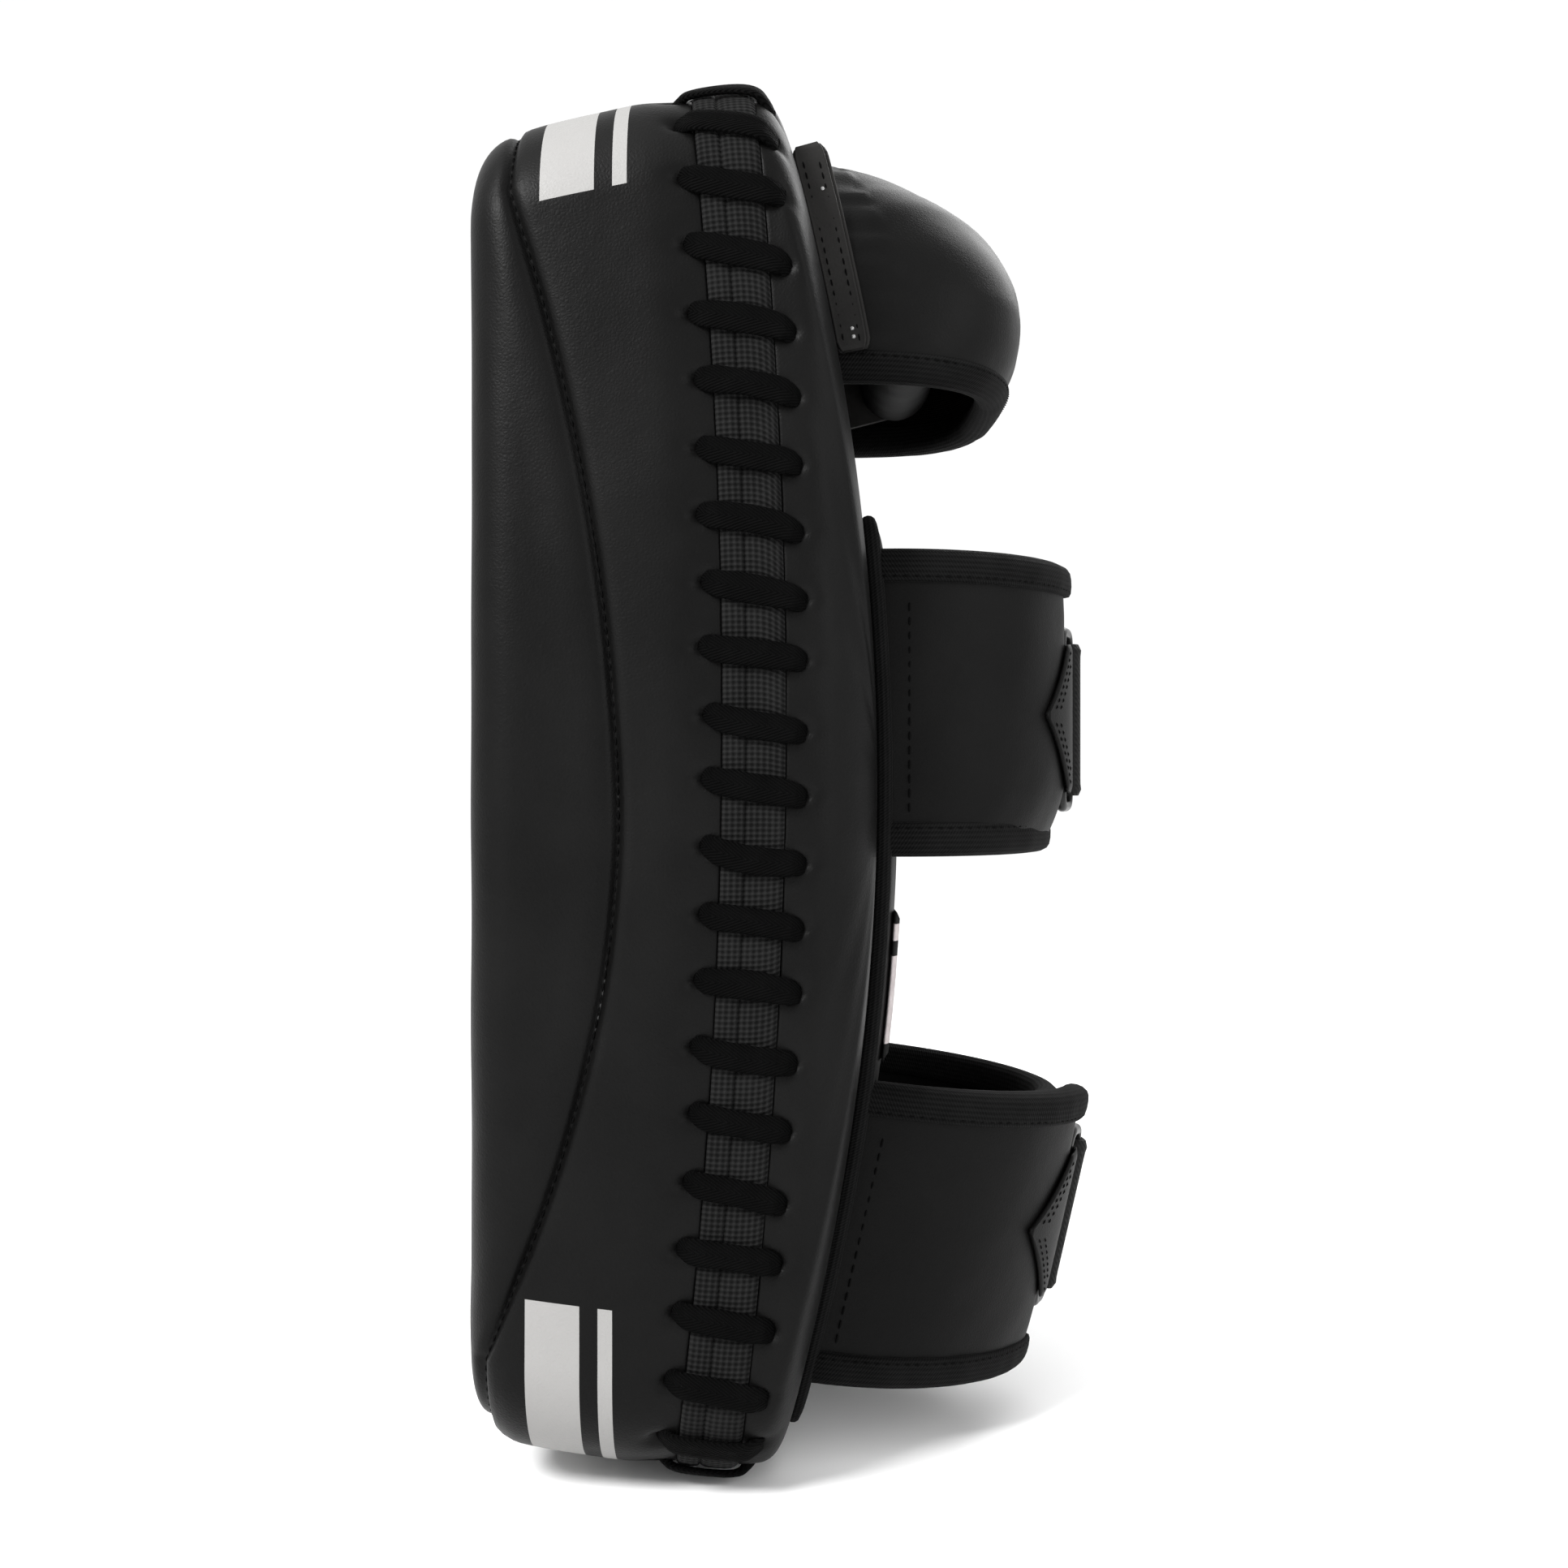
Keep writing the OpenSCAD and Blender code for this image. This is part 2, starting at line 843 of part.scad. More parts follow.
// The strap lies on the far flap, rises to the ring and bends back round its bar
module strap(c) {
    angles = span_angles(90, strap_end_at + 10);
    middle = [for (a = angles) bar_k - fold_r - (bar_k - fold_r - lie_k) * ease(a)];
    color(webbing)
        cuff_frame(c)
            translate([0, 0, closure_z(c)]) {
                strip(c, angles, middle, strap_t, strap_w);
                difference() {
                    bar(0, bar_y(c), fold_r + strap_t / 2, strap_w);
                    bar(0, bar_y(c), fold_r - strap_t / 2, through);
                    translate([-20, 0, -through / 2])
                        cube([20, through, through]);
                }
            }
}

module loop_patch(c) {
    k = lie_k + strap_t / 2;
    color("black")
        cuff_frame(c)
            translate([0, 0, closure_z(c)])
                band(c, [k + touch, k + patch_t], [lie_from, strap_end_at], strap_w - 4);
}

// The loose end of the strap, which peels off the loop patch
module strap_end(c) {
    angles = concat([90.5], span_angles(95, strap_end_at - 5));
    middle = [for (a = angles) bar_k + fold_r - (bar_k + fold_r - tab_k) * ease(a)];
    color(webbing)
        cuff_frame(c)
            translate([0, 0, closure_z(c)])
                strip(c, angles, middle, strap_t, strap_w);
}

module hook_patch(c) {
    k = tab_k - strap_t / 2;
    color("black")
        cuff_frame(c)
            translate([0, 0, closure_z(c)])
                band(c, [k - patch_t, k - touch], [lie_from + 2, strap_end_at - 7], strap_w - 4);
}

soft_foam();
dense_foam();
back_board();
face_panel();
side_gusset();
back_cover();
front_edge_binding();
rear_edge_binding();
lace();
lace_knot();
arm_pad_foam();
arm_pad_cover();
arm_pad_binding();
arm_pad_label();
guard_leather();
guard_foam();
guard_lining();
guard_binding();
guard_flanges();
grip_core();
grip_foam();
grip_leather();
grip_tabs();
grip_rivets();
near_flap("upper");  // upper_near_flap
near_binding("upper");  // upper_near_binding
far_flap("upper");  // upper_far_flap
far_binding("upper");  // upper_far_binding
anchor_tab("upper");  // upper_anchor_tab
ring("upper");  // upper_ring
strap("upper");  // upper_strap
loop_patch("upper");  // upper_loop_patch
strap_end("upper");  // upper_strap_end
hook_patch("upper");  // upper_hook_patch
near_flap("lower");  // lower_near_flap
near_binding("lower");  // lower_near_binding
far_flap("lower");  // lower_far_flap
far_binding("lower");  // lower_far_binding
anchor_tab("lower");  // lower_anchor_tab
ring("lower");  // lower_ring
strap("lower");  // lower_strap
loop_patch("lower");  // lower_loop_patch
strap_end("lower");  // lower_strap_end
hook_patch("lower");  // lower_hook_patch
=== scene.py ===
"""Looks of the laced Thai pad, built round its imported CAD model."""

import math

import bmesh
import bpy
import numpy as np
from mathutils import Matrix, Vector

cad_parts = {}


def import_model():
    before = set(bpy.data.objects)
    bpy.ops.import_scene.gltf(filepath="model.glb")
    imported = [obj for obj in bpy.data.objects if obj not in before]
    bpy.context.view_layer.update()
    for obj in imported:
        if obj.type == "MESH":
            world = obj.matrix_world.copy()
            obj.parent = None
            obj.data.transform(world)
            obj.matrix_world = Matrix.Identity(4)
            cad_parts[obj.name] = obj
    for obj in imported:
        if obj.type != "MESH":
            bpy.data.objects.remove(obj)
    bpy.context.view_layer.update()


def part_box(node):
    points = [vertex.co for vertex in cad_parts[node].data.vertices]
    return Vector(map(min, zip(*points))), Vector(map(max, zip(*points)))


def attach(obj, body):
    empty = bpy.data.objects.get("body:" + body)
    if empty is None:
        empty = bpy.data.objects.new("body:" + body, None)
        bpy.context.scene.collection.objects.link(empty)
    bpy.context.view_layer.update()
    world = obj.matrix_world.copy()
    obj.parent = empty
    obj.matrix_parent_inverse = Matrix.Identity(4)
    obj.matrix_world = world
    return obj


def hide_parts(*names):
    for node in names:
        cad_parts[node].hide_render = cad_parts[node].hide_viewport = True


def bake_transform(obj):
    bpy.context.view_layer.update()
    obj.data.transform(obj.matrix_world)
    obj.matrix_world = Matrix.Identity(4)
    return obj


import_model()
MM = 0.001
RNG = np.random.default_rng(7)

# --- Driving sizes, in millimetres, as in part.scad except for the steeper STITCH_SLOPE ---

BODY_W = 200.0
BODY_T = 115.0
BODY_H = 398.0
CORNER_R = 32.0
FRONT_R = 14.0
BACK_R = 28.0
MID_Z = 200.0
BACK_CURVE = 0.00073
TOP_FRONT = 385.5
TOP_SLOPE = 0.2
BOTTOM_FRONT = 12.0
BOTTOM_SLOPE = -0.14
END_ROUND = 8.0
WEBBING_W = 16.5
SLOT_OFFSET = 12.7
# a depth close to the lacing all round, for reading heights along the rim
LACING_D = 79.0
STITCHES = 62
STITCH_SLOPE = -4.2
LACE_W = 7.6
LACE_T = 2.2
ARM_PAD_W = 136.0
ARM_PAD_TOP = 279.0
ARM_PAD_LOW = 12.0
ARM_PAD_T = 7.5
GUARD_A = 66.0
GUARD_B = 63.5
GUARD_MID = 346.0
GUARD_UP = 48.0
GUARD_RIM = 320.0
GUARD_BASE = 100.0
FLANGE_UP = 10.5
STRAP_W = 50.0
STRAP_T = 2.2
WIRE_D = 3.8
ARM_A = 50.5
FAR_K = (0.0, 6.0)
NEAR_K = (8.5, 15.5)
BAR_K = 16.0
FOLD_R = WIRE_D / 2 + 0.28 + STRAP_T / 2
RING_GAP = 12.0
CUFF_H = 88.0
CUFFS = {
    "upper": dict(b=43.0, z=224.0, lean=0.0, rise=0.0, closure=-3.0, taper=7.0),
    "lower": dict(b=55.0, z=68.0, lean=13.0, rise=0.11, closure=7.6, taper=2.0),
}
FACE_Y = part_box("face_panel")[0].y / MM


def world(points):
    """Points given as x, depth behind the striking face and z, in millimetres, in the frame in metres."""
    p = np.array(points, float)
    return np.stack([p[..., 0], p[..., 1] + FACE_Y, p[..., 2]], -1) * MM


# --- Meshes ---


def new_object(name, verts, faces, uvs=None, smooth=True):
    mesh = bpy.data.meshes.new(name)
    mesh.from_pydata(np.asarray(verts).reshape(-1, 3).tolist(), [], faces)
    if uvs is not None:
        layer = mesh.uv_layers.new(name="UVMap")
        flat = np.asarray(uvs, float).reshape(-1, 2)
        loops = np.zeros(len(mesh.loops), np.int32)
        mesh.loops.foreach_get("vertex_index", loops)
        layer.data.foreach_set("uv", flat[loops].ravel().astype(np.float32))
    turned = bmesh.new()
    turned.from_mesh(mesh)
    bmesh.ops.recalc_face_normals(turned, faces=turned.faces)
    turned.to_mesh(mesh)
    turned.free()
    if smooth:
        mesh.polygons.foreach_set("use_smooth", [True] * len(mesh.polygons))
    mesh.update()
    obj = bpy.data.objects.new(name, mesh)
    bpy.context.scene.collection.objects.link(obj)
    return obj


def grid_faces(rows, cols, wrap_cols=False, wrap_rows=False, start=0):
    """Quads over a grid of rows by cols vertices."""
    faces = []
    for i in range(rows if wrap_rows else rows - 1):
        for j in range(cols if wrap_cols else cols - 1):
            a = i * cols + j
            b = i * cols + (j + 1) % cols
            c = ((i + 1) % rows) * cols + (j + 1) % cols
            d = ((i + 1) % rows) * cols + j
            faces.append((start + a, start + b, start + c, start + d))
    return faces


def end_caps(rows, cols, start=0):
    """Faces that close the first and last row of a tube."""
    last = start + (rows - 1) * cols
    return [tuple(start + j for j in range(cols - 1, -1, -1)), tuple(last + j for j in range(cols))]


def normals_of(grid, wrap=True):
    """Outward normals of a grid of points whose columns run round the pad."""
    if wrap:
        dc = np.roll(grid, -1, 1) - np.roll(grid, 1, 1)
    else:
        dc = np.gradient(grid, axis=1)
    dr = np.gradient(grid, axis=0)
    n = np.cross(dr, dc)
    return n / np.maximum(np.linalg.norm(n, axis=-1, keepdims=True), 1e-9)


def bump(x, width):
    return np.exp(-((x / width) ** 2))


def smooth_noise(a, b, scale, seed, octaves=2):
    """Gentle unevenness from a few waves, between about -1 and 1."""
    rng = np.random.default_rng(seed)
    total = np.zeros(np.broadcast(a, b).shape)
    for o in range(octaves):
        for _ in range(5):
            angle, phase = rng.uniform(0, 2 * math.pi, 2)
            f = 2 * math.pi / scale * (1 + o) * rng.uniform(0.7, 1.4)
            total = total + np.sin(f * (a * math.cos(angle) + b * math.sin(angle)) + phase) / (1 + o)
    return total / 6


# --- Shape of the body ---


def edge_draw(d):
    f = np.clip(FRONT_R - d, 0, FRONT_R)
    b = np.clip(d - BODY_T + BACK_R, 0, BACK_R)
    return FRONT_R - np.sqrt(FRONT_R**2 - f**2) + BACK_R - np.sqrt(BACK_R**2 - b**2)


def soft_min(a, b):
    return (a + b) / 2 - np.sqrt((a - b) ** 2 / 4 + END_ROUND**2)


def back_reach(d):
    return np.sqrt(np.maximum(BODY_T - d, 0) / BACK_CURVE)


def body_ends(d):
    """Lowest and highest z of the body at a depth."""
    front = np.where(d < BODY_T / 2, edge_draw(d), 0)
    top = soft_min(TOP_FRONT + TOP_SLOPE * d, MID_Z + back_reach(d)) - front
    low = -soft_min(-BOTTOM_FRONT - BOTTOM_SLOPE * d, back_reach(d) - MID_Z) + front
    return low, top


def lace_depth(z):
    return 79.8 - 0.0003 * (z - 220) ** 2


def seam_depth(z):
    up = 42.4 - 30.2 * np.clip((z - 190) / 185, 0, 1) ** 1.8
    down = 42.4 - 38.3 * np.clip((190 - z) / 158, 0, 1) ** 1.8
    return np.where(z > 190, up, down)


RIM_LO = float(body_ends(np.array(lace_depth(0.0)))[0])
RIM_HI = float(body_ends(np.array(lace_depth(BODY_H)))[1])
RIM_FLAT = BODY_W / 2 - CORNER_R
RIM_SIDE = RIM_HI - RIM_LO - 2 * CORNER_R
RIM_ARC = math.pi * CORNER_R / 2
RIM_STEPS = np.cumsum([RIM_FLAT, RIM_ARC, RIM_SIDE, RIM_ARC, 2 * RIM_FLAT, RIM_ARC, RIM_SIDE, RIM_ARC,
                       RIM_FLAT])
RIM_LENGTH = RIM_STEPS[-1]
PITCH = RIM_LENGTH / STITCHES


def outline(s, d):
    """x, z and the direction of the outward normal at a distance s round the rim and depth d."""
    s = np.mod(s, RIM_LENGTH)
    s, d = np.broadcast_arrays(s, d)
    draw = edge_draw(d)
    w = BODY_W / 2 - draw
    lo, hi = body_ends(d)
    r = np.maximum(CORNER_R - draw, 10)
    r = np.minimum(r, (hi - lo) / 2)
    k = np.clip(np.searchsorted(RIM_STEPS, s, side="right"), 0, 8)
    start = np.concatenate([[0], RIM_STEPS[:-1]])[k]
    f = (s - start) / np.diff(np.concatenate([[0], RIM_STEPS]))[k]
    c, zl, zh = w - r, lo + r, hi - r
    x = np.zeros(s.shape)
    z = np.zeros(s.shape)
    a = np.zeros(s.shape)
    for i, (cx, cz, first) in {1: (c, zl, -90), 3: (c, zh, 0), 5: (-c, zh, 90), 7: (-c, zl, 180)}.items():
        m = k == i
        angle = np.radians(first + 90 * f)
        x = np.where(m, cx + r * np.cos(angle), x)
        z = np.where(m, cz + r * np.sin(angle), z)
        a = np.where(m, angle, a)
    x = np.where(k == 0, f * c, x)
    x = np.where(k == 2, w, x)
    x = np.where(k == 4, c * (1 - 2 * f), x)
    x = np.where(k == 6, -w, x)
    x = np.where(k == 8, -c * (1 - f), x)
    z = np.where((k == 0) | (k == 8), lo, z)
    z = np.where(k == 2, zl + (zh - zl) * f, z)
    z = np.where(k == 4, hi, z)
    z = np.where(k == 6, zh - (zh - zl) * f, z)
    a = np.where((k == 0) | (k == 8), -math.pi / 2, a)
    a = np.where(k == 4, math.pi / 2, a)
    a = np.where(k == 6, math.pi, a)
    return x, z, a


def body_point(s, d):
    x, z, _ = outline(s, d)
    return np.stack([x, np.broadcast_to(d, x.shape), z], -1)


def lace_shift(s, d):
    """How far a line of constant s has slid along the rim at depth d, against its place at the lacing."""
    x, z, a = outline(s, d)
    x0, z0, _ = outline(s, np.broadcast_to(lace_depth(z), z.shape))
    return (z - z0) * np.cos(a) - (x - x0) * np.sin(a)


# --- Stitches of the lace: each has its own slant and a little unevenness ---

stitch_s = (np.arange(STITCHES) + 0.5) * PITCH + RNG.normal(0, 0.35, STITCHES)
stitch_slope = STITCH_SLOPE + RNG.normal(0, 0.7, STITCHES)
slot_in = SLOT_OFFSET + RNG.normal(0, 0.35, (STITCHES, 2))


def slot_dents(s, off, side):
    """How far the leather is pulled in beside its slots, off millimetres out from the lacing's middle."""
    z = outline(s, np.full(np.broadcast(s, off).shape, LACING_D))[1]
    true_s = s + lace_shift(s, lace_depth(z) + side * off)
    depth = np.zeros(np.broadcast(s, off).shape)
    for i in range(STITCHES):
        centre = stitch_s[i] + (stitch_slope[i] if side > 0 else 0)
        ds = np.mod(true_s - centre + RIM_LENGTH / 2, RIM_LENGTH) - RIM_LENGTH / 2
        do = off - slot_in[i, 0 if side < 0 else 1]
        tail = np.where(do > 0, 3.4, 2.4)
        depth += 2.7 * np.exp(-((ds / 2.0) ** 2) - (do / tail) ** 2)
        depth += 0.45 * np.exp(-((ds / 4.2) ** 2) - ((do - 2) / 5.5) ** 2)
    return depth


# --- Leather covers of the body ---

COLS_PER_STITCH = 14
COLS = STITCHES * COLS_PER_STITCH
SEAM_GROOVE = 1.9
SEAM_W = 1.5
EDGE_OFF = WEBBING_W / 2
LIP_W = 1.2


def body_sheet(name, s, d, inward, uv_d):
    """A cover over the body, pressed inwards by so many millimetres along its normal."""
    base = body_point(s, d)
    n = normals_of(base)
    grid = base - n * inward[..., None]
    uv = np.stack([np.broadcast_to(s, d.shape), np.broadcast_to(uv_d, d.shape)], -1)
    # the first column is repeated at the end, so that the print and grain don't run backwards there
    grid = np.concatenate([grid, grid[:, :1]], 1)
    uv = np.concatenate([uv, uv[:, :1] + [RIM_LENGTH, 0]], 1)
    rows, cols = grid.shape[:2]
    obj = new_object(name, world(grid), grid_faces(rows, cols), uv * MM)
    weld(obj)
    return obj


def weld(obj, distance=0.00002):
    mod = obj.modifiers.new("weld", "WELD")
    mod.merge_threshold = distance
    apply_modifiers(obj)


def apply_modifiers(obj):
    dg = bpy.context.evaluated_depsgraph_get()
    mesh = bpy.data.meshes.new_from_object(obj.evaluated_get(dg))
    obj.modifiers.clear()
    obj.data = mesh


rim_s = (np.arange(COLS) * RIM_LENGTH / COLS)[None, :]
rim_z = outline(rim_s, np.full((1, COLS), LACING_D))[1]
seam_d = seam_depth(rim_z)
lace_d = lace_depth(rim_z)


def swell(f, most):
    """Soft padding pushes a cover out between its sewn edges."""
    return most * (1 - np.abs(2 * f - 1) ** 2.2)


def sewn_lip(off):
    """The cover's edge turns in under the tape, off millimetres out from the lacing's middle."""
    return 0.9 * np.clip((EDGE_OFF + LIP_W - off) / LIP_W, 0, 1) ** 2


def gusset_cover():
    """The side gusset, from the face seam to the front row of lace slots."""
    f = np.concatenate([[0, 0.006, 0.014, 0.026, 0.045, 0.08],
                        np.linspace(0.13, 0.52, 12), np.linspace(0.55, 1, 34)])[:, None]
    wide = lace_d - EDGE_OFF - seam_d
    d = seam_d + wide * f
    off = lace_d - d
    inward = SEAM_GROOVE * bump(d - seam_d, SEAM_W) - swell(f, 1.6) * np.clip(wide / 40, 0, 1)
    inward = inward + slot_dents(rim_s, off, -1) - 0.5 * bump(off - 22, 8)
    inward = inward - 0.35 * smooth_noise(rim_s, d, 60, 3) + sewn_lip(off)
    return body_sheet("side_gusset_leather", rim_s, d, inward, d)


def face_cover():
    """The striking face and the edges it wraps, as far as the seam."""
    round_steps = np.array([0, 0.01, 0.03, 0.06, 0.1, 0.15, 0.2, 0.26, 0.32, 0.4, 0.5, 0.6, 0.7, 0.8, 0.87,
                            0.92, 0.95, 0.97, 0.984, 0.994, 1])[:, None]
    d = seam_d * round_steps
    beside_seam = 0.8 * bump(d - seam_d + 7, 5) * np.clip(seam_d / 20, 0, 1)
    inward = SEAM_GROOVE * bump(d - seam_d, SEAM_W) - beside_seam - 0.3 * smooth_noise(rim_s, d, 70, 5)
    edge_ring = body_point(rim_s, d)
    edge_ring = edge_ring - normals_of(edge_ring) * inward[..., None]
    face_steps = np.array([0.0, 0.04, 0.1, 0.2, 0.32, 0.45, 0.58, 0.7, 0.8, 0.88, 0.94, 0.98])[:, None]
    centre = np.array([0.0, 0.0, (RIM_LO + RIM_HI) / 2])
    face_grid = centre + (edge_ring[:1] - centre) * face_steps[..., None]
    crown = 1.3 * (1 - face_steps**2.5) + 0.3 * smooth_noise(face_grid[..., 0], face_grid[..., 2], 90, 9)
    face_grid[..., 1] -= crown
    grid = np.concatenate([face_grid, edge_ring], 0)
    uv = np.stack([grid[..., 0], grid[..., 2]], -1)
    faces = grid_faces(grid.shape[0], COLS, wrap_cols=True)
    obj = new_object("face_panel_leather", world(grid), faces, uv * MM)
    weld(obj)
    return obj


def back_cover():
    """The back, from the rear row of lace slots round to its middle."""
    steps = np.concatenate([np.linspace(0, 0.4, 34), np.linspace(0.43, 1, 22)])[:, None]
    rear = lace_d + EDGE_OFF
    d = rear + (BODY_T - 0.02 - rear) * (1 - (1 - steps) ** 1.7)
    off = d - lace_d
    inward = slot_dents(rim_s, off, 1) - 0.35 * smooth_noise(rim_s, d, 60, 11) - 0.5 * bump(off - 20, 6)
    inward = (inward + sewn_lip(off)) * np.clip((BODY_T - d) / 4, 0, 1)
    return body_sheet("back_cover_leather", rim_s, d, inward, d)


gusset = gusset_cover()
face = face_cover()
back = back_cover()

# --- Sewn thread ---


def stitch_run(name, path, up, pitch=3.2, length=2.3, radius=0.28, lift=0.1):
    """Thread stitches laid end to end along a line on a surface, in millimetres."""
    path = np.asarray(path, float)
    up = np.asarray(up, float)
    seg = np.linalg.norm(np.diff(path, axis=0), axis=1)
    run = np.concatenate([[0], np.cumsum(seg)])
    verts, faces = [], []
    ring = np.linspace(0, 2 * math.pi, 6, endpoint=False)
    profile = [(-0.5, 0.35), (-0.36, 0.9), (0, 1.0), (0.36, 0.9), (0.5, 0.35)]
    for k in range(int(run[-1] / pitch)):
        at = (k + 0.5) * pitch
        p0, p1 = (np.array([np.interp(at + e * length / 2, run,
                                      path[:, i]) for i in range(3)]) for e in (-1, 1))
        n = np.array([np.interp(at, run, up[:, i]) for i in range(3)])
        n /= np.linalg.norm(n)
        t = p1 - p0
        t /= max(np.linalg.norm(t), 1e-9)
        side = np.cross(n, t)
        mid = (p0 + p1) / 2 + n * lift
        start = len(verts)
        for along, fat in profile:
            sink = n * (-abs(along) * 2 * radius * 1.6 + radius * 0.3)
            for a in ring:
                verts.append(mid + t * along * length + sink + (side * math.cos(a)
                                                                + n * math.sin(a)) * radius * fat)
        faces += grid_faces(len(profile), 6, wrap_cols=True, start=start)
        faces += end_caps(len(profile), 6, start)
    return new_object(name, world(np.array(verts)), faces)


def on_body(s, d, lift):
    p = body_point(s, d)
    n = normals_of(np.stack([body_point(s, d - 0.5), p, body_point(s, d + 0.5)]))[1]
    return p + n * lift, n


seam_line, seam_up = on_body(rim_s[0], seam_d[0], -SEAM_GROOVE)
seam_thread = stitch_run("face_seam_thread", seam_line, seam_up, pitch=3.4, length=2.7, radius=0.32,
                         lift=0.25)

# --- Bound edges under the lace ---


def edge_tape(name, lo, hi, seed):
    """A folded tape over one leather edge, running round the pad."""
    across_f = np.linspace(0, 1, 13)[:, None]
    o = lo + (hi - lo) * across_f
    d = lace_d + o
    height = 0.35 + 1.0 * (1 - np.abs(2 * across_f - 1) ** 5) + 0.2 * smooth_noise(rim_s, o, 30, seed)
    true_s = rim_s + lace_shift(rim_s, d)
    # the lace presses the tape down where it crosses
    for i in range(STITCHES):
        t = np.clip((o + SLOT_OFFSET) / (2 * SLOT_OFFSET), 0, 1)
        ds = np.mod(true_s - stitch_s[i] - stitch_slope[i] * t + RIM_LENGTH / 2, RIM_LENGTH) - RIM_LENGTH / 2
        height = height - 0.55 * np.exp(-((ds / 4.6) ** 4))
    return body_sheet(name, rim_s, d, -height, o)


front_tape = edge_tape("front_edge_tape", -WEBBING_W / 2 - 0.4, -2.0, 21)
rear_tape = edge_tape("rear_edge_tape", -2.2, WEBBING_W / 2 + 0.4, 22)

# --- Lace ---


def catmull(points, per):
    """A smooth curve through points, closed."""
    p = np.asarray(points, float)
    out = []
    t = np.linspace(0, 1, per, endpoint=False)[:, None]
    for i in range(len(p)):
        a, b, c, d4 = p[i - 1], p[i], p[(i + 1) % len(p)], p[(i + 2) % len(p)]
        out.append(0.5 * (2 * b + (c - a) * t + (2 * a - 5 * b + 4 * c - d4) * t**2
                          + (3 * b - a - 3 * c + d4) * t**3))
    return np.concatenate(out)


def lace_mesh():
    keys, widths, highs = [], [], []
    for i in range(STITCHES):
        s0, slope = stitch_s[i], stitch_slope[i]
        left, right = slot_in[i]
        wide = 1.02 + RNG.normal(0, 0.05)
        bow = RNG.normal(0, 0.5)
        places = [(0, -left, -2.6, 0.7, 1.5), (0.03, -left + 1.4, 0.6, 0.9, 1.35),
                  (0.18, -left + 4.4, 2.0, 1.0, 1.1),
                  (0.5, bow * 0.3, 2.35, wide, 1.0), (0.82, right - 4.4, 2.0, 1.0, 1.1),
                  (0.97, right - 1.4, 0.6, 0.9, 1.35), (1, right, -2.6, 0.7, 1.5)]
        for t, o, up, w, h in places:
            keys.append([s0 + slope * t + bow * math.sin(math.pi * t), o, up])
            widths.append(w)
            highs.append(h)
        keys.append([s0 + (PITCH + slope) / 2, 0, -4.2])
        widths.append(0.8)
        highs.append(1.0)
    keys = np.array(keys)
    last = len(keys)
    per = 5
    turn = np.array([RIM_LENGTH, 0, 0])
    curve = catmull(np.concatenate([keys - turn, keys, keys + turn]), per)
    curve = curve[last * per:2 * last * per]
    size = catmull(np.stack([widths, highs], 1), per)
    s, o, up = curve.T
    z = outline(s, np.full(s.shape, LACING_D))[1]
    d = lace_depth(z) + o
    straight = s
    for _ in range(4):
        straight = s - lace_shift(straight, d)
    x, z, a = outline(straight, d)
    normal = np.stack([np.cos(a), np.zeros(len(a)), np.sin(a)], -1)
    pts = np.stack([x, d, z], -1) + normal * up[:, None]
    along = np.roll(pts, -1, 0) - np.roll(pts, 1, 0)
    along /= np.linalg.norm(along, axis=1, keepdims=True)
    rim_way = np.stack([-np.sin(a), np.zeros(len(a)), np.cos(a)], -1)
    wide = rim_way - (rim_way * along).sum(1, keepdims=True) * along
    wide /= np.linalg.norm(wide, axis=1, keepdims=True)
    thick = np.cross(along, wide)
    sides = 18
    b = np.linspace(0, 2 * math.pi, sides, endpoint=False)
    w = LACE_W / 2 * size[:, 0]
    h = LACE_T / 2 * size[:, 1]
    flat = np.sign(np.sin(b)) * np.abs(np.sin(b)) ** 0.7
    # the braid folds into two soft ridges along its length
    ridge = 1 - 0.22 * np.exp(-((np.cos(b) / 0.22) ** 2))
    rings = (pts[:, None] + wide[:, None] * (w[:, None] * np.cos(b))[..., None]
             + thick[:, None] * (h[:, None] * (flat * ridge))[..., None])
    run = np.concatenate([[0], np.cumsum(np.linalg.norm(np.diff(pts, axis=0), axis=1))])
    u = np.broadcast_to(run[:, None], rings.shape[:2])
    v = np.broadcast_to((w[:, None] * np.cos(b)), rings.shape[:2])
    faces = grid_faces(len(pts), sides, wrap_cols=True) + end_caps(len(pts), sides)
    return new_object("braided_lace", world(rings), faces, np.stack([u, v], -1) * MM)


lace = lace_mesh()


def knot_mesh():
    """The flat knot that joins the lace's ends, at the middle of the lower end."""
    u = np.linspace(0, 2 * math.pi, 48, endpoint=False)
    # a trefoil, flattened onto the leather
    x = 2.1 * (np.sin(u) + 2 * np.sin(2 * u)) / 2
    y = 2.6 * (np.cos(u) - 2 * np.cos(2 * u)) / 2
    lift = -1.2 * np.sin(3 * u)
    z = RIM_LO - 2.0 + 0.45 * lift
    pts = np.stack([x, lace_depth(0.0) + y, z], -1)
    return closed_tube("lace_knot_bow", pts, 1.15)


def closed_tube(name, pts, radius, sides=12):
    along = np.roll(pts, -1, 0) - np.roll(pts, 1, 0)
    along /= np.linalg.norm(along, axis=1, keepdims=True)
    side = np.cross(along, [0, 0, 1.0])
    side /= np.linalg.norm(side, axis=1, keepdims=True)
    up = np.cross(side, along)
    b = np.linspace(0, 2 * math.pi, sides, endpoint=False)
    rings = pts[:, None] + radius * (side[:, None] * np.cos(b)[:, None] + up[:, None] * np.sin(b)[:, None])
    uv = np.stack(np.broadcast_arrays(np.arange(len(pts))[:, None] * 1.2, (b * radius)[None]), -1)
    return new_object(name, world(rings), grid_faces(len(pts), sides, True, True), uv * MM)


knot = knot_mesh()

# --- Strips, bindings and pillows ---


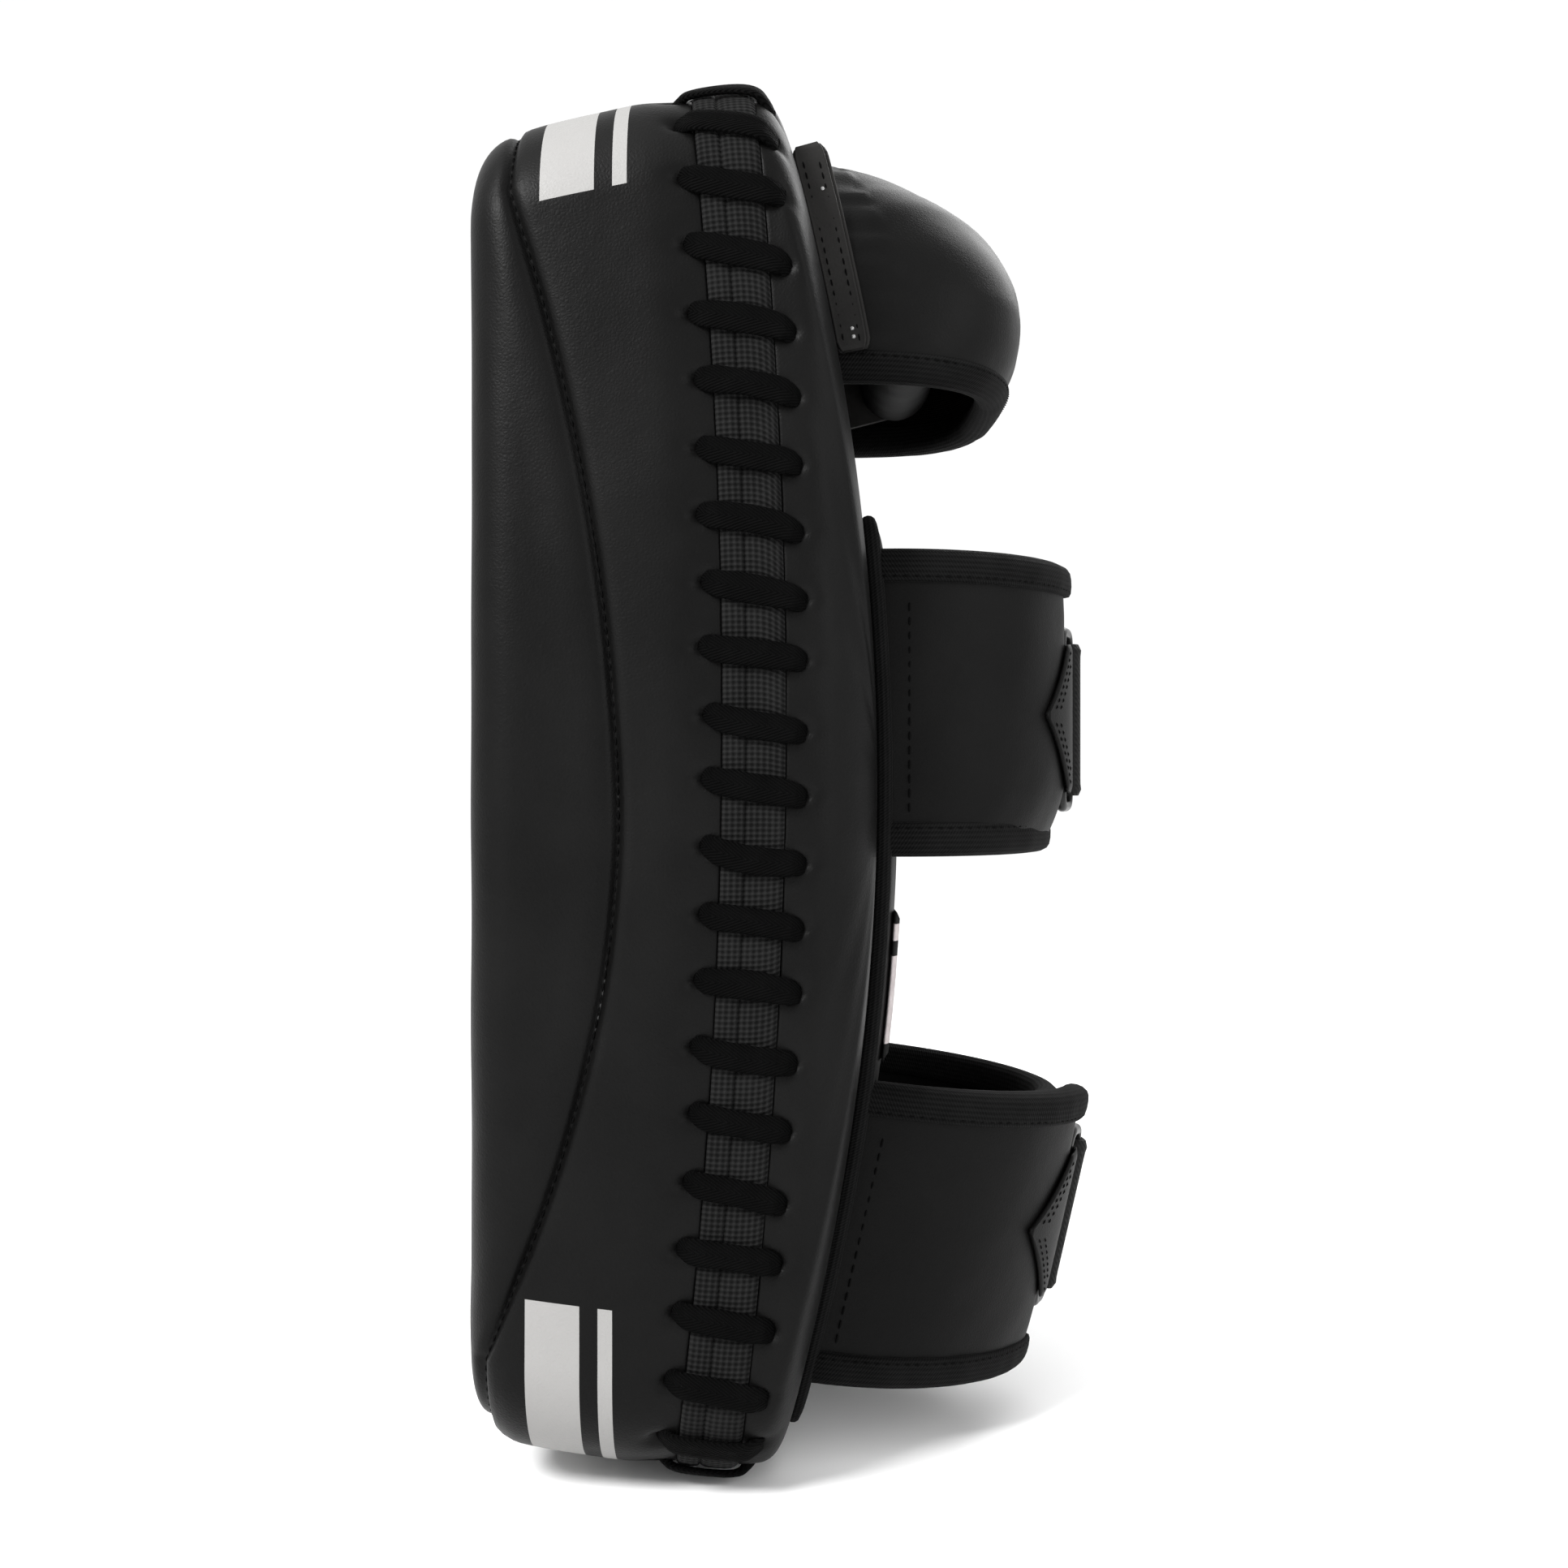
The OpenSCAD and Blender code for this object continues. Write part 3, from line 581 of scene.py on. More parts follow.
def unit(v):
    return v / np.maximum(np.linalg.norm(v, axis=-1, keepdims=True), 1e-9)


def ribbon(name, path, normal, half_w, thick, hem=0.0, samples=26, to_frame=world):
    """A strap or strip: path is its centre line, half_w may change along it, hem thickens its two edges."""
    path = np.asarray(path, float)
    along = unit(np.gradient(path, axis=0))
    normal = unit(np.asarray(normal, float))
    across = unit(np.cross(along, normal))
    w = np.linspace(-1, 1, samples)
    edge = np.clip((1 - np.abs(w)) / 0.03, 0, 1)
    half_t = thick / 2 * (0.35 + 0.65 * np.sqrt(1 - (1 - edge) ** 2)) + hem * bump(np.abs(w) - 0.93, 0.06)
    ring_w = np.concatenate([w, w[::-1]])
    ring_t = np.concatenate([half_t, -half_t[::-1]])
    half_w = np.broadcast_to(np.asarray(half_w, float), (len(path),))
    grid = (path[:, None] + across[:, None] * (half_w[:, None] * ring_w)[..., None]
            + normal[:, None] * ring_t[None, :, None])
    run = np.concatenate([[0], np.cumsum(np.linalg.norm(np.diff(path, axis=0), axis=1))])
    uv = np.stack([np.broadcast_to(run[:, None], grid.shape[:2]), half_w[:, None] * ring_w], -1)
    faces = grid_faces(len(path), 2 * samples, wrap_cols=True) + end_caps(len(path), 2 * samples)
    return new_object(name, to_frame(grid), faces, uv * MM)


def edge_binding(name, path, inward, normal, width, half_t, closed=False, to_frame=world, seed=1):
    """Tape folded over an edge. inward points from the edge into the panel, normal out of its face."""
    path, inward, normal = (np.asarray(v, float) for v in (path, inward, normal))
    inward, normal = unit(inward), unit(normal)
    prof = [(1.0, 0.62), (0.97, 0.9), (0.85, 1.03), (0.6, 1.08), (0.35, 1.06), (0.14, 0.98)]
    turn = [(0.0, 0.8), (-0.1, 0.42), (-0.13, 0.0)]
    shape = prof + turn + [(a, -b) for a, b in turn[-2::-1]] + [(a, -b) for a, b in prof[::-1]]
    shape = np.array(shape)
    rows, cols = len(path), len(shape)
    run = np.concatenate([[0], np.cumsum(np.linalg.norm(np.diff(path, axis=0), axis=1))])
    wave = 1 + 0.05 * smooth_noise(run, run * 0, 14, seed)
    grid = (path[:, None] + inward[:, None] * (shape[:, 0] * width)[None, :, None]
            + normal[:, None] * (shape[:, 1][None] * half_t * wave[:, None])[..., None])
    girth = np.concatenate([[0], np.cumsum(np.hypot(*(np.diff(shape * [width, half_t], axis=0).T)))])
    uv = np.stack(np.broadcast_arrays(run[:, None], girth[None]), -1)
    faces = grid_faces(rows, cols, wrap_cols=True, wrap_rows=closed)
    if not closed:
        faces += end_caps(rows, cols)
    return new_object(name, to_frame(grid), faces, uv * MM)


def inflate(obj, pinned, pressure, cap_mm, frames=20):
    """Cloth with air inside, held along its seams; no point moves further than cap_mm."""
    before = np.empty(len(obj.data.vertices) * 3)
    obj.data.vertices.foreach_get("co", before)
    group = obj.vertex_groups.new(name="sewn")
    group.add([int(i) for i in np.flatnonzero(pinned)], 1.0, "REPLACE")
    cloth = obj.modifiers.new("cloth", "CLOTH")
    s = cloth.settings
    s.quality = 5
    s.mass = 0.15
    s.tension_stiffness = 18
    s.compression_stiffness = 18
    s.shear_stiffness = 6
    s.bending_stiffness = 0.4
    s.vertex_group_mass = "sewn"
    s.use_pressure = True
    s.uniform_pressure_force = pressure
    s.effector_weights.gravity = 0
    cloth.point_cache.frame_start = 1
    cloth.point_cache.frame_end = frames
    for f in range(1, frames + 1):
        bpy.context.scene.frame_set(f)
    apply_modifiers(obj)
    bpy.context.scene.frame_set(1)
    after = np.empty_like(before)
    obj.data.vertices.foreach_get("co", after)
    move = (after - before).reshape(-1, 3)
    far = np.linalg.norm(move, axis=1, keepdims=True)
    move *= np.minimum(1, cap_mm * MM / np.maximum(far, 1e-9))
    obj.data.vertices.foreach_set("co", (before.reshape(-1, 3) + move).ravel())
    obj.vertex_groups.clear()
    obj.data.update()


def subdivide(obj, levels=1):
    mod = obj.modifiers.new("smooth", "SUBSURF")
    mod.levels = levels
    mod.render_levels = levels
    apply_modifiers(obj)


# --- Arm pad ---


def back_depth(z):
    return BODY_T - BACK_CURVE * (z - MID_Z) ** 2


def pad_t(z):
    return np.where(z > 110, ARM_PAD_T, np.maximum(ARM_PAD_T - (110 - z) * 0.062, 1.6))


def pad_face(z):
    return back_depth(z) + 0.05 + pad_t(z)


def arm_pad_mesh():
    """A shallow cushion, thin at its bound edges, sewn flat to the back."""
    nx, nz = 46, 88
    u, v = np.linspace(-1, 1, nx)[None], np.linspace(0, 1, nz)[:, None]
    x = u * (ARM_PAD_W / 2 - 1.5)
    z = ARM_PAD_LOW + 1.5 + v * (ARM_PAD_TOP - ARM_PAD_LOW - 3)
    x, z = np.broadcast_arrays(x, z)
    rim = np.minimum(ARM_PAD_W / 2 - 1.5 - np.abs(x), np.minimum(z - ARM_PAD_LOW - 1.5,
                                                                 ARM_PAD_TOP - 1.5 - z))
    rise = 0.52 + 0.48 * (1 - np.exp(-rim / 7.0))
    out = back_depth(z) + 0.05 + pad_t(z) * rise
    outer = np.stack([x, out, z], -1)
    inner = np.stack([x, back_depth(z) + 0.02, z], -1)
    grid = np.concatenate([outer, inner[:, ::-1]], 1)
    uv = grid[..., [0, 2]]
    faces = grid_faces(nz, 2 * nx, wrap_cols=True) + end_caps(nz, 2 * nx)
    obj = new_object("arm_pad_cushion", world(grid), faces, uv * MM)
    sewn = np.zeros(grid.shape[:2], bool)
    sewn[:, nx:] = True
    sewn[:, :nx] = rim < 5.0
    inflate(obj, sewn.ravel(), 3.0, 1.2)
    subdivide(obj)
    return obj


arm_pad = arm_pad_mesh()


def arm_pad_rim():
    """The bound edge as a closed path with rounded corners: points, inward directions and normals."""
    w, lo, hi, r = ARM_PAD_W / 2 - 0.6, ARM_PAD_LOW + 0.6, ARM_PAD_TOP - 0.6, 7.0
    pts = []
    for sx, sz, first in [(1, -1, -90), (1, 1, 0), (-1, 1, 90), (-1, -1, 180)]:
        for a in np.linspace(first, first + 90, 8):
            cz = lo + r if sz < 0 else hi - r
            pts.append([sx * (w - r) + r * math.cos(math.radians(a)), cz + r * math.sin(math.radians(a))])
    pts = np.array(pts + [pts[0]])
    run = np.concatenate([[0], np.cumsum(np.hypot(*np.diff(pts, axis=0).T))])
    at = np.arange(0, run[-1], 3.0)
    flat = np.stack([np.interp(at, run, pts[:, i]) for i in range(2)], -1)
    t = unit(np.roll(flat, -1, 0) - np.roll(flat, 1, 0))
    inward = np.stack([-t[:, 1], 0 * t[:, 0], t[:, 0]], -1)
    d = back_depth(flat[:, 1]) + 0.05 + pad_t(flat[:, 1]) * 0.28
    path = np.stack([flat[:, 0], d, flat[:, 1]], -1)
    slope = 2 * BACK_CURVE * (flat[:, 1] - MID_Z)
    normal = np.stack([0 * d, 1 + 0 * d, slope], -1)
    return path, inward, normal


rim_path, rim_in, rim_normal = arm_pad_rim()
arm_binding = edge_binding("arm_pad_edge_tape", rim_path, rim_in, rim_normal, 8.0, 2.7, closed=True, seed=31)
arm_thread = stitch_run("arm_pad_stitches", rim_path + unit(rim_in) * 6.4, rim_normal, 3.4, 2.5, 0.26, 2.95)


def label_mesh():
    x = np.linspace(-28, 60, 34)[None]
    z = np.linspace(118, 162, 22)[:, None]
    x, z = np.broadcast_arrays(x, z)
    edge = np.minimum(np.minimum(x + 28, 60 - x), np.minimum(z - 118, 162 - z))
    out = pad_face(z) + 1.1 * np.clip(edge / 1.2, 0, 1) ** 0.5 + 0.15 * smooth_noise(x, z, 25, 41)
    top = np.stack([x, out, z], -1)
    low = np.stack([x, pad_face(z) - 0.6, z], -1)
    grid = np.concatenate([top, low[:, ::-1]], 1)
    faces = grid_faces(22, 68, wrap_cols=True) + end_caps(22, 68)
    return new_object("arm_pad_label_patch", world(grid), faces, grid[..., [0, 2]] * MM)


label = label_mesh()


# --- Fist guard ---


def guard_span(z, k):
    return GUARD_UP - np.where(z > GUARD_MID, k, 0)


def guard_reach(z, k):
    f = np.minimum(np.abs(z - GUARD_MID) / guard_span(z, k), 1)
    return (GUARD_B - k) * np.sqrt(1 - f ** np.where(z > GUARD_MID, 2.1, 2.4))


def guard_half(z, k):
    f = np.minimum(np.abs(z - GUARD_MID) / (guard_span(z, k) + 4), 1)
    return (GUARD_A - k) * np.sqrt(1 - f ** np.where(z > GUARD_MID, 2.6, 4))


def guard_square(z):
    return 2 / 3 + np.where(z > GUARD_MID, np.minimum(1.4 * (z - GUARD_MID) / GUARD_UP, 1) / 3, 0)


def guard_point(t, z, k):
    """t runs from 0 on the +X side, round behind, to 1 on the -X side; past that the wall meets the body."""
    a = np.pi * np.clip(t, 0, 1)
    c, s = np.cos(a), np.sin(a)
    x = guard_half(z, k) * np.sign(c) * np.abs(c) ** guard_square(z)
    out = np.maximum(-t, t - 1)
    reach = guard_reach(z, k) * np.abs(s) ** guard_square(z)
    base = GUARD_BASE + np.where(out > 0, (back_depth(z) - 1.5 - GUARD_BASE) * out / 0.04, 0)
    return np.stack([x, base + reach, np.broadcast_to(z, x.shape)], -1)


GUARD_T = np.concatenate([[-0.04, -0.02, 0.0], np.linspace(0.012, 0.988, 86), [1.0, 1.02, 1.04]])


def guard_sheet(name, k, rim_z, sign, puff, seed):
    """One skin of the guard's wall. sign is 1 for the outside and -1 for the lining."""
    top = GUARD_MID + GUARD_UP - k
    rows = rim_z + (top - 0.15 - rim_z) * (1 - (1 - np.linspace(0, 1, 46)) ** 1.7)
    t, z = np.broadcast_arrays(GUARD_T[None], rows[:, None])
    base = guard_point(t, z, k)
    n = normals_of(base, wrap=False)
    middle = base.mean(axis=(0, 1)) - [0, 15, 0]
    n *= np.sign((n * (base - middle)).sum(-1, keepdims=True))
    up = (z - rim_z) / (top - rim_z)
    sew = np.clip(np.minimum(t + 0.02, 1.02 - t) / 0.09, 0, 1)
    cushion = puff * np.sin(np.pi * np.clip(up * 1.08, 0, 1)) ** 0.7 * np.sqrt(sew)
    # the leather gathers into small puckers where it is sewn to the flanges
    wave = np.sin(z * 2 * math.pi / 8.5 + 2.2 * smooth_noise(z, t * 0, 20, seed))
    gather = 0.55 * wave * bump(1 - sew, 0.75) * (sew < 1)
    crease = 0.5 * smooth_noise(base[..., 0] + base[..., 1], z, 34, seed + 1, 3)
    grid = base + n * (sign * (cushion + crease * np.sqrt(sew)) + gather)[..., None]
    uv = np.stack([t * 190, z], -1)
    # the crown's last row runs forward onto the top of the body
    front = grid[-1].copy()
    cover = []
    for step in (0.33, 0.66, 1.0):
        row = front.copy()
        row[:, 1] = front[:, 1] - (front[:, 1] - 87.5) * step
        row[:, 2] = front[:, 2] - 4.6 * step**1.5
        cover.append(row)
    grid = np.concatenate([grid, np.stack(cover)], 0)
    uv = np.concatenate([uv, np.stack([uv[-1] + [0, 4 * i] for i in (1, 2, 3)])], 0)
    obj = new_object(name, world(grid), grid_faces(*grid.shape[:2]), uv * MM)
    return obj


guard = guard_sheet("fist_guard_leather", 0.6, GUARD_RIM + 1.5, 1, 0.9, 51)
lining = guard_sheet("fist_guard_lining", 6.9, GUARD_RIM + 1.5, -1, 0.4, 53)

rim_t = np.linspace(0.0, 1.0, 150)
rim_low = guard_point(rim_t, np.full(150, GUARD_RIM - 0.4), 3.7)
rim_out = guard_point(rim_t, np.full(150, GUARD_RIM - 0.4), 0.7) - rim_low
rim_up = guard_point(rim_t, np.full(150, GUARD_RIM + 5.0), 3.7) - rim_low
rim_out = rim_out - unit(rim_up) * (rim_out * unit(rim_up)).sum(-1, keepdims=True)
guard_tape = edge_binding("fist_guard_edge_tape", rim_low, rim_up, rim_out, 9.0, 4.5, seed=55)
guard_thread = stitch_run("fist_guard_stitches", rim_low + unit(rim_up) * 7.6 + unit(rim_out) * 4.55,
                          rim_out, 3.2, 2.4, 0.26)


def flange_mesh(name, side, x, lo, hi, thick, seed):
    """A strip that stands on the back beside the guard, from lo to hi millimetres above it."""
    z = np.linspace(326.5, 386, 44)
    lean = 0.6 * smooth_noise(z, z * 0, 34, seed)
    path = np.stack([side * (x + lean), back_depth(z) + (lo + hi) / 2, z], -1)
    normal = np.stack([np.full(44, float(side)), 0 * z, 0 * z], -1)
    ends = np.clip(np.minimum(z - 326.5, 386 - z) / 3.0, 0.02, 1) ** 0.5
    return ribbon(name, path, normal, (hi - lo) / 2 * (0.7 + 0.3 * ends), thick, 0.15)


flanges, flange_threads, flange_dots = [], [], []
for side_name, side in (("near", 1), ("far", -1)):
    flanges.append(flange_mesh(f"flange_inner_{side_name}", side, GUARD_A + 1.2, -0.5, FLANGE_UP, 1.7, 61))
    flanges.append(flange_mesh(f"flange_outer_{side_name}", side, GUARD_A + 3.0, 0.2, FLANGE_UP - 1.2, 1.7,
                               62))
    z = np.linspace(328.5, 384, 30)
    out = np.stack([np.full(30, float(side)), 0 * z, 0 * z], -1)
    for i, off in enumerate((2.4, 7.2)):
        line = np.stack([np.full(30, side * (GUARD_A + 3.9)), back_depth(z) + off, z], -1)
        flange_threads.append(stitch_run(f"flange_stitches_{side_name}_{i}", line, out, 3.2, 2.5, 0.27, 0.0))
    # the last stitches at each end are pale bar tacks
    for i, (z0, z1) in enumerate(((329, 334), (372, 376))):
        tack = np.stack([np.full(4, side * (GUARD_A + 4.0)), back_depth(np.linspace(z0, z1, 4)) + 5.6
                         + 0.5 * i,
                         np.linspace(z0, z1, 4)], -1)
        flange_dots.append(stitch_run(f"flange_tacks_{side_name}_{i}", tack, out[:4], 2.4, 1.3, 0.55, 0.1))

# --- Grip ---


def grip_mesh():
    nx, na = 60, 48
    u = np.linspace(-1, 1, nx)[:, None]
    a = np.linspace(0, 2 * math.pi, na, endpoint=False)[None]
    x = u * 43.8
    end = np.clip((1 - np.abs(u)) / 0.05, 0, 1)
    r = 12 * (0.86 + 0.14 * np.sqrt(1 - (1 - end) ** 2)) + 0.25 * smooth_noise(x, a * 12, 18, 71)
    # the seam where the leather's edges meet, on the palm's side
    r = r - 0.8 * bump(a - math.pi / 2, 0.06)
    grid = np.stack(np.broadcast_arrays(x, 127 + r * np.sin(a), 340 + r * np.cos(a)), -1)
    uv = np.stack(np.broadcast_arrays(x, a * 12), -1)
    faces = grid_faces(nx, na, wrap_cols=True) + end_caps(nx, na)
    return new_object("grip_cover", world(grid), faces, uv * MM)


grip = grip_mesh()

# --- Cuffs ---


def cuff_to_world(cuff):
    """Places in a cuff's own frame (x, outwards, along the arm), in millimetres, in the world."""
    lean = math.radians(cuff["lean"])
    face_d = float(pad_face(cuff["z"]))

    def place(points):
        p = np.asarray(points, float)
        x, y, z = p[..., 0], p[..., 1], p[..., 2]
        depth = face_d + y * math.cos(lean) + z * math.sin(lean)
        high = cuff["z"] - y * math.sin(lean) + z * math.cos(lean)
        return world(np.stack([x, depth, high], -1))

    return place


def on_cuff(cuff, k, a, z):
    """A place round the cuff, which draws in a little below its closure."""
    a = np.radians(a)
    x = (ARM_A + k) * np.cos(a)
    below = np.clip((-np.asarray(z, float) - 24) / 20, 0, 1)
    y = (cuff["b"] + k - cuff["taper"] * below**1.5) * np.sin(a)
    return np.stack(np.broadcast_arrays(x, y, z), -1)


def cuff_normal(cuff, a, z):
    a = np.radians(a)
    n = np.stack(np.broadcast_arrays(np.cos(a) / ARM_A, np.sin(a) / cuff["b"], 0 * np.asarray(z, float)), -1)
    return unit(n)


def rim_height(cuff, a, half_h, sign):
    """Height of a flap's edge: the lower cuff's edges rise as they go out from the back."""
    y = (cuff["b"] + 6) * np.sin(np.radians(a))
    return sign * half_h + cuff["rise"] * y


def flap_mesh(name, cuff, k, span, half_h, free_end, seed):
    """A padded flap: two skins sewn together round their edges, puffed between them."""
    nu, nv = 34, 26
    a = np.linspace(*span, nu)[:, None]
    v = np.linspace(0, 1, nv)[None]
    lo, hi = rim_height(cuff, a, half_h - 1, -1), rim_height(cuff, a, half_h - 1, 1)
    z = lo + (hi - lo) * v
    mid, half = (k[0] + k[1]) / 2, (k[1] - k[0]) / 2
    across_f = np.abs(2 * v - 1)
    body = 0.72 + 0.28 * (1 - across_f**3)
    step = abs(span[1] - span[0]) / 6
    reach = np.abs(a - (span[1] if free_end > 0 else span[0])) / step
    close = np.sqrt(1 - (1 - np.clip(reach * 2.2, 0, 1)) ** 2)
    t = half * body * np.maximum(close, 0.06)
    soft = 0.35 * smooth_noise(a * 1.0, z, 38, seed, 3)
    outer = on_cuff(cuff, mid + t + soft, a, z)
    inner = on_cuff(cuff, mid - t - 0.4 * soft, a, z)
    grid = np.concatenate([outer, inner[:, ::-1]], 1)
    uv = np.concatenate([np.stack(np.broadcast_arrays(a, z), -1)] * 2, 1)
    faces = grid_faces(nu, 2 * nv, wrap_cols=True) + end_caps(nu, 2 * nv)
    obj = new_object(name, cuff_to_world(cuff)(grid), faces, uv * MM)
    edge = np.concatenate([across_f, across_f], 1) > 0.82
    sewn = np.broadcast_to(edge, grid.shape[:2]).copy()
    sewn[:2] = True
    sewn[-2:] = True
    inflate(obj, sewn.ravel(), 4.0, 1.3)
    subdivide(obj)
    return obj


def flap_edges(name, cuff, k, span, half_h, seed):
    out = []
    a = np.linspace(*span, 60)
    mid, half = (k[0] + k[1]) / 2, (k[1] - k[0]) / 2
    for end, sign in (("high", 1), ("low", -1)):
        z = rim_height(cuff, a, half_h + 0.3, sign)
        path = on_cuff(cuff, mid, a, z)
        inward = np.stack([0 * a, 0 * a, np.full(60, -sign)], -1)
        normal = cuff_normal(cuff, a, z)
        place = cuff_to_world(cuff)
        out.append(edge_binding(f"{name}_tape_{end}", path, inward, normal, 9.0, half + 1, to_frame=place,
                                seed=seed))
        line = path + inward * 7.4 + normal * (half + 1.06)
        out.append(stitches_in(f"{name}_stitches_{end}", cuff, line, normal))
    return out


def stitches_in(name, cuff, line, normal, pitch=3.2, length=2.4, radius=0.26):
    """Thread along a line given in a cuff's frame."""
    place = cuff_to_world(cuff)
    base = place(line) / MM - [0, FACE_Y, 0]
    tip = place(np.asarray(line) + normal) / MM - [0, FACE_Y, 0]
    return stitch_run(name, base, tip - base, pitch, length, radius)


def ease(a):
    s = np.clip((a - 90) / 30, 0, 1)
    return s * s * (3 - 2 * s)


LIE_K = FAR_K[1] + 0.05 + STRAP_T / 2
PATCH_T = 1.95
TAB_K = LIE_K + STRAP_T + 2 * PATCH_T + 0.5


def anchor_y(cuff):
    return (cuff["b"] + 13) * math.sqrt(1 - (RING_GAP / (ARM_A + 13)) ** 2)


def strap_meshes(name, cuff):
    """The strap's lying part and fold, the crease where it hinges, its loose end and the two patches."""
    place = cuff_to_world(cuff)
    zc = cuff["closure"]
    bar_y = cuff["b"] + BAR_K
    a = np.linspace(164, 90, 46)
    lying = on_cuff(cuff, BAR_K - FOLD_R - (BAR_K - FOLD_R - LIE_K) * ease(a), a, zc)
    turn = np.radians(np.linspace(-90, 78, 18))[1:]
    fold = np.stack([FOLD_R * np.cos(turn), bar_y + FOLD_R * np.sin(turn), np.full(len(turn), zc)], -1)
    base_path = np.concatenate([lying, fold])
    lie_n = cuff_normal(cuff, a, 0 * a)
    # round the bar the strap's lower face turns outwards
    fold_n = np.stack([-np.cos(turn), -np.sin(turn), 0 * turn], -1)
    lie_n[-1] = [0, 1, 0]
    base = ribbon(f"{name}_strap_web", base_path, np.concatenate([lie_n, fold_n]), STRAP_W / 2 - 0.2,
                  STRAP_T, 0.25,
                  to_frame=place)
    over = np.radians(np.linspace(74, 90, 5))
    arc = np.stack([FOLD_R * np.cos(over), bar_y + FOLD_R * np.sin(over), np.full(5, zc)], -1)
    b = np.linspace(91, 98, 6)
    away = on_cuff(cuff, BAR_K + FOLD_R - (BAR_K + FOLD_R - TAB_K) * ease(b), b, zc)
    crease_n = np.concatenate([np.stack([np.cos(over), np.sin(over), 0 * over], -1),
                               cuff_normal(cuff, b, 0 * b)])
    crease = ribbon(f"{name}_strap_crease", np.concatenate([arc, away]), crease_n, STRAP_W / 2 - 0.2,
                    STRAP_T - 0.1, 0.25,
                    to_frame=place)
    e = np.linspace(96, 151, 42)
    tail_path = on_cuff(cuff, BAR_K + FOLD_R - (BAR_K + FOLD_R - TAB_K) * ease(e), e, zc)
    tail_path[..., 1] += 0.12 * np.sin(np.linspace(0, 9, 42))
    tail = ribbon(f"{name}_strap_tab", tail_path, cuff_normal(cuff, e, 0 * e), STRAP_W / 2 - 0.2, STRAP_T,
                  0.25, to_frame=place)
    p = np.linspace(120, 155, 26)
    loop = ribbon(f"{name}_loop_pile", on_cuff(cuff, LIE_K + STRAP_T / 2 + 0.95, p, zc),
                  cuff_normal(cuff, p, 0 * p),
                  STRAP_W / 2 - 2.4, 1.7, to_frame=place)
    h = np.linspace(122, 148, 22)
    hook = ribbon(f"{name}_hook_pile", on_cuff(cuff, TAB_K - STRAP_T / 2 - 0.95, h, zc),
                  cuff_normal(cuff, h, 0 * h),
                  STRAP_W / 2 - 2.4, 1.7, to_frame=place)
    lines = []
    for sign in (-1, 1):
        f = np.linspace(97, 149, 30)
        n = cuff_normal(cuff, f, 0 * f)
        z = zc + sign * (STRAP_W / 2 - 3.2)
        line = on_cuff(cuff, BAR_K + FOLD_R - (BAR_K + FOLD_R - TAB_K) * ease(f), f, z) + n * (STRAP_T / 2)
        lines.append(stitches_in(f"{name}_tab_stitches_{'low' if sign < 0 else 'high'}", cuff, line, n))
    return base, crease, tail, loop, hook, lines


def anchor_mesh(name, cuff):
    """The pointed leather tab that passes round the ring's fixed bar."""
    zc, y0 = cuff["closure"], anchor_y(cuff)
    x = np.linspace(41.6, RING_GAP, 34)
    k = NEAR_K[1] + 0.9
    a = np.degrees(np.arccos(x / (ARM_A + k)))
    flat = on_cuff(cuff, k, a, zc)
    r = WIRE_D / 2 + 1.0
    turn = np.radians(np.linspace(80, 262, 16))
    wrap = np.stack([RING_GAP + r * np.cos(turn), y0 + r * np.sin(turn), np.full(16, zc)], -1)
    lift = flat[-1, 1] - (y0 + r)
    flat[:, 1] -= lift * bump(x - RING_GAP, 4.0)
    path = np.concatenate([flat[:-1], wrap])
    normal = np.concatenate([cuff_normal(cuff, a[:-1], 0 * a[:-1]),
                             np.stack([np.cos(turn), np.sin(turn), 0 * turn], -1)])
    half = np.where(x > 24, 23 * np.clip((42 - x) / 18, 0.02, 1), 24 - (x - RING_GAP) / 12)
    half = np.concatenate([half[:-1], np.full(16, 23.6)])
    place = cuff_to_world(cuff)
    tab = ribbon(f"{name}_pointed_tab", path, normal, half, 1.6, to_frame=place)
    lines = []
    for i, inset in enumerate((2.2, 4.8)):
        for sign in (-1, 1):
            u = np.linspace(22.5, 41.2 - inset * 1.25, 30)
            b = np.degrees(np.arccos(u / (ARM_A + k)))
            z = zc + sign * np.maximum(23 * (42 - u) / 18 - inset * 1.62, 0.1).clip(0, 24 - inset)
            n = cuff_normal(cuff, b, 0 * b)
            lines.append(stitches_in(f"{name}_tab_thread_{i}_{'low' if sign < 0 else 'high'}", cuff,
                                     on_cuff(cuff, k, b, z) + n * 0.8, n, 2.9, 2.2, 0.24))
    return tab, lines


def attach_stitches(name, cuff, a, k, half_h):
    """Thread where a flap is sewn down to the arm pad."""
    z = np.linspace(rim_height(cuff, a, half_h - 3, -1), rim_height(cuff, a, half_h - 3, 1), 30)
    aa = np.full(30, float(a))
    n = cuff_normal(cuff, aa, z)
    return stitches_in(name, cuff, on_cuff(cuff, k, aa, z) + n * 0.1, n, 4.2, 2.6, 0.34)


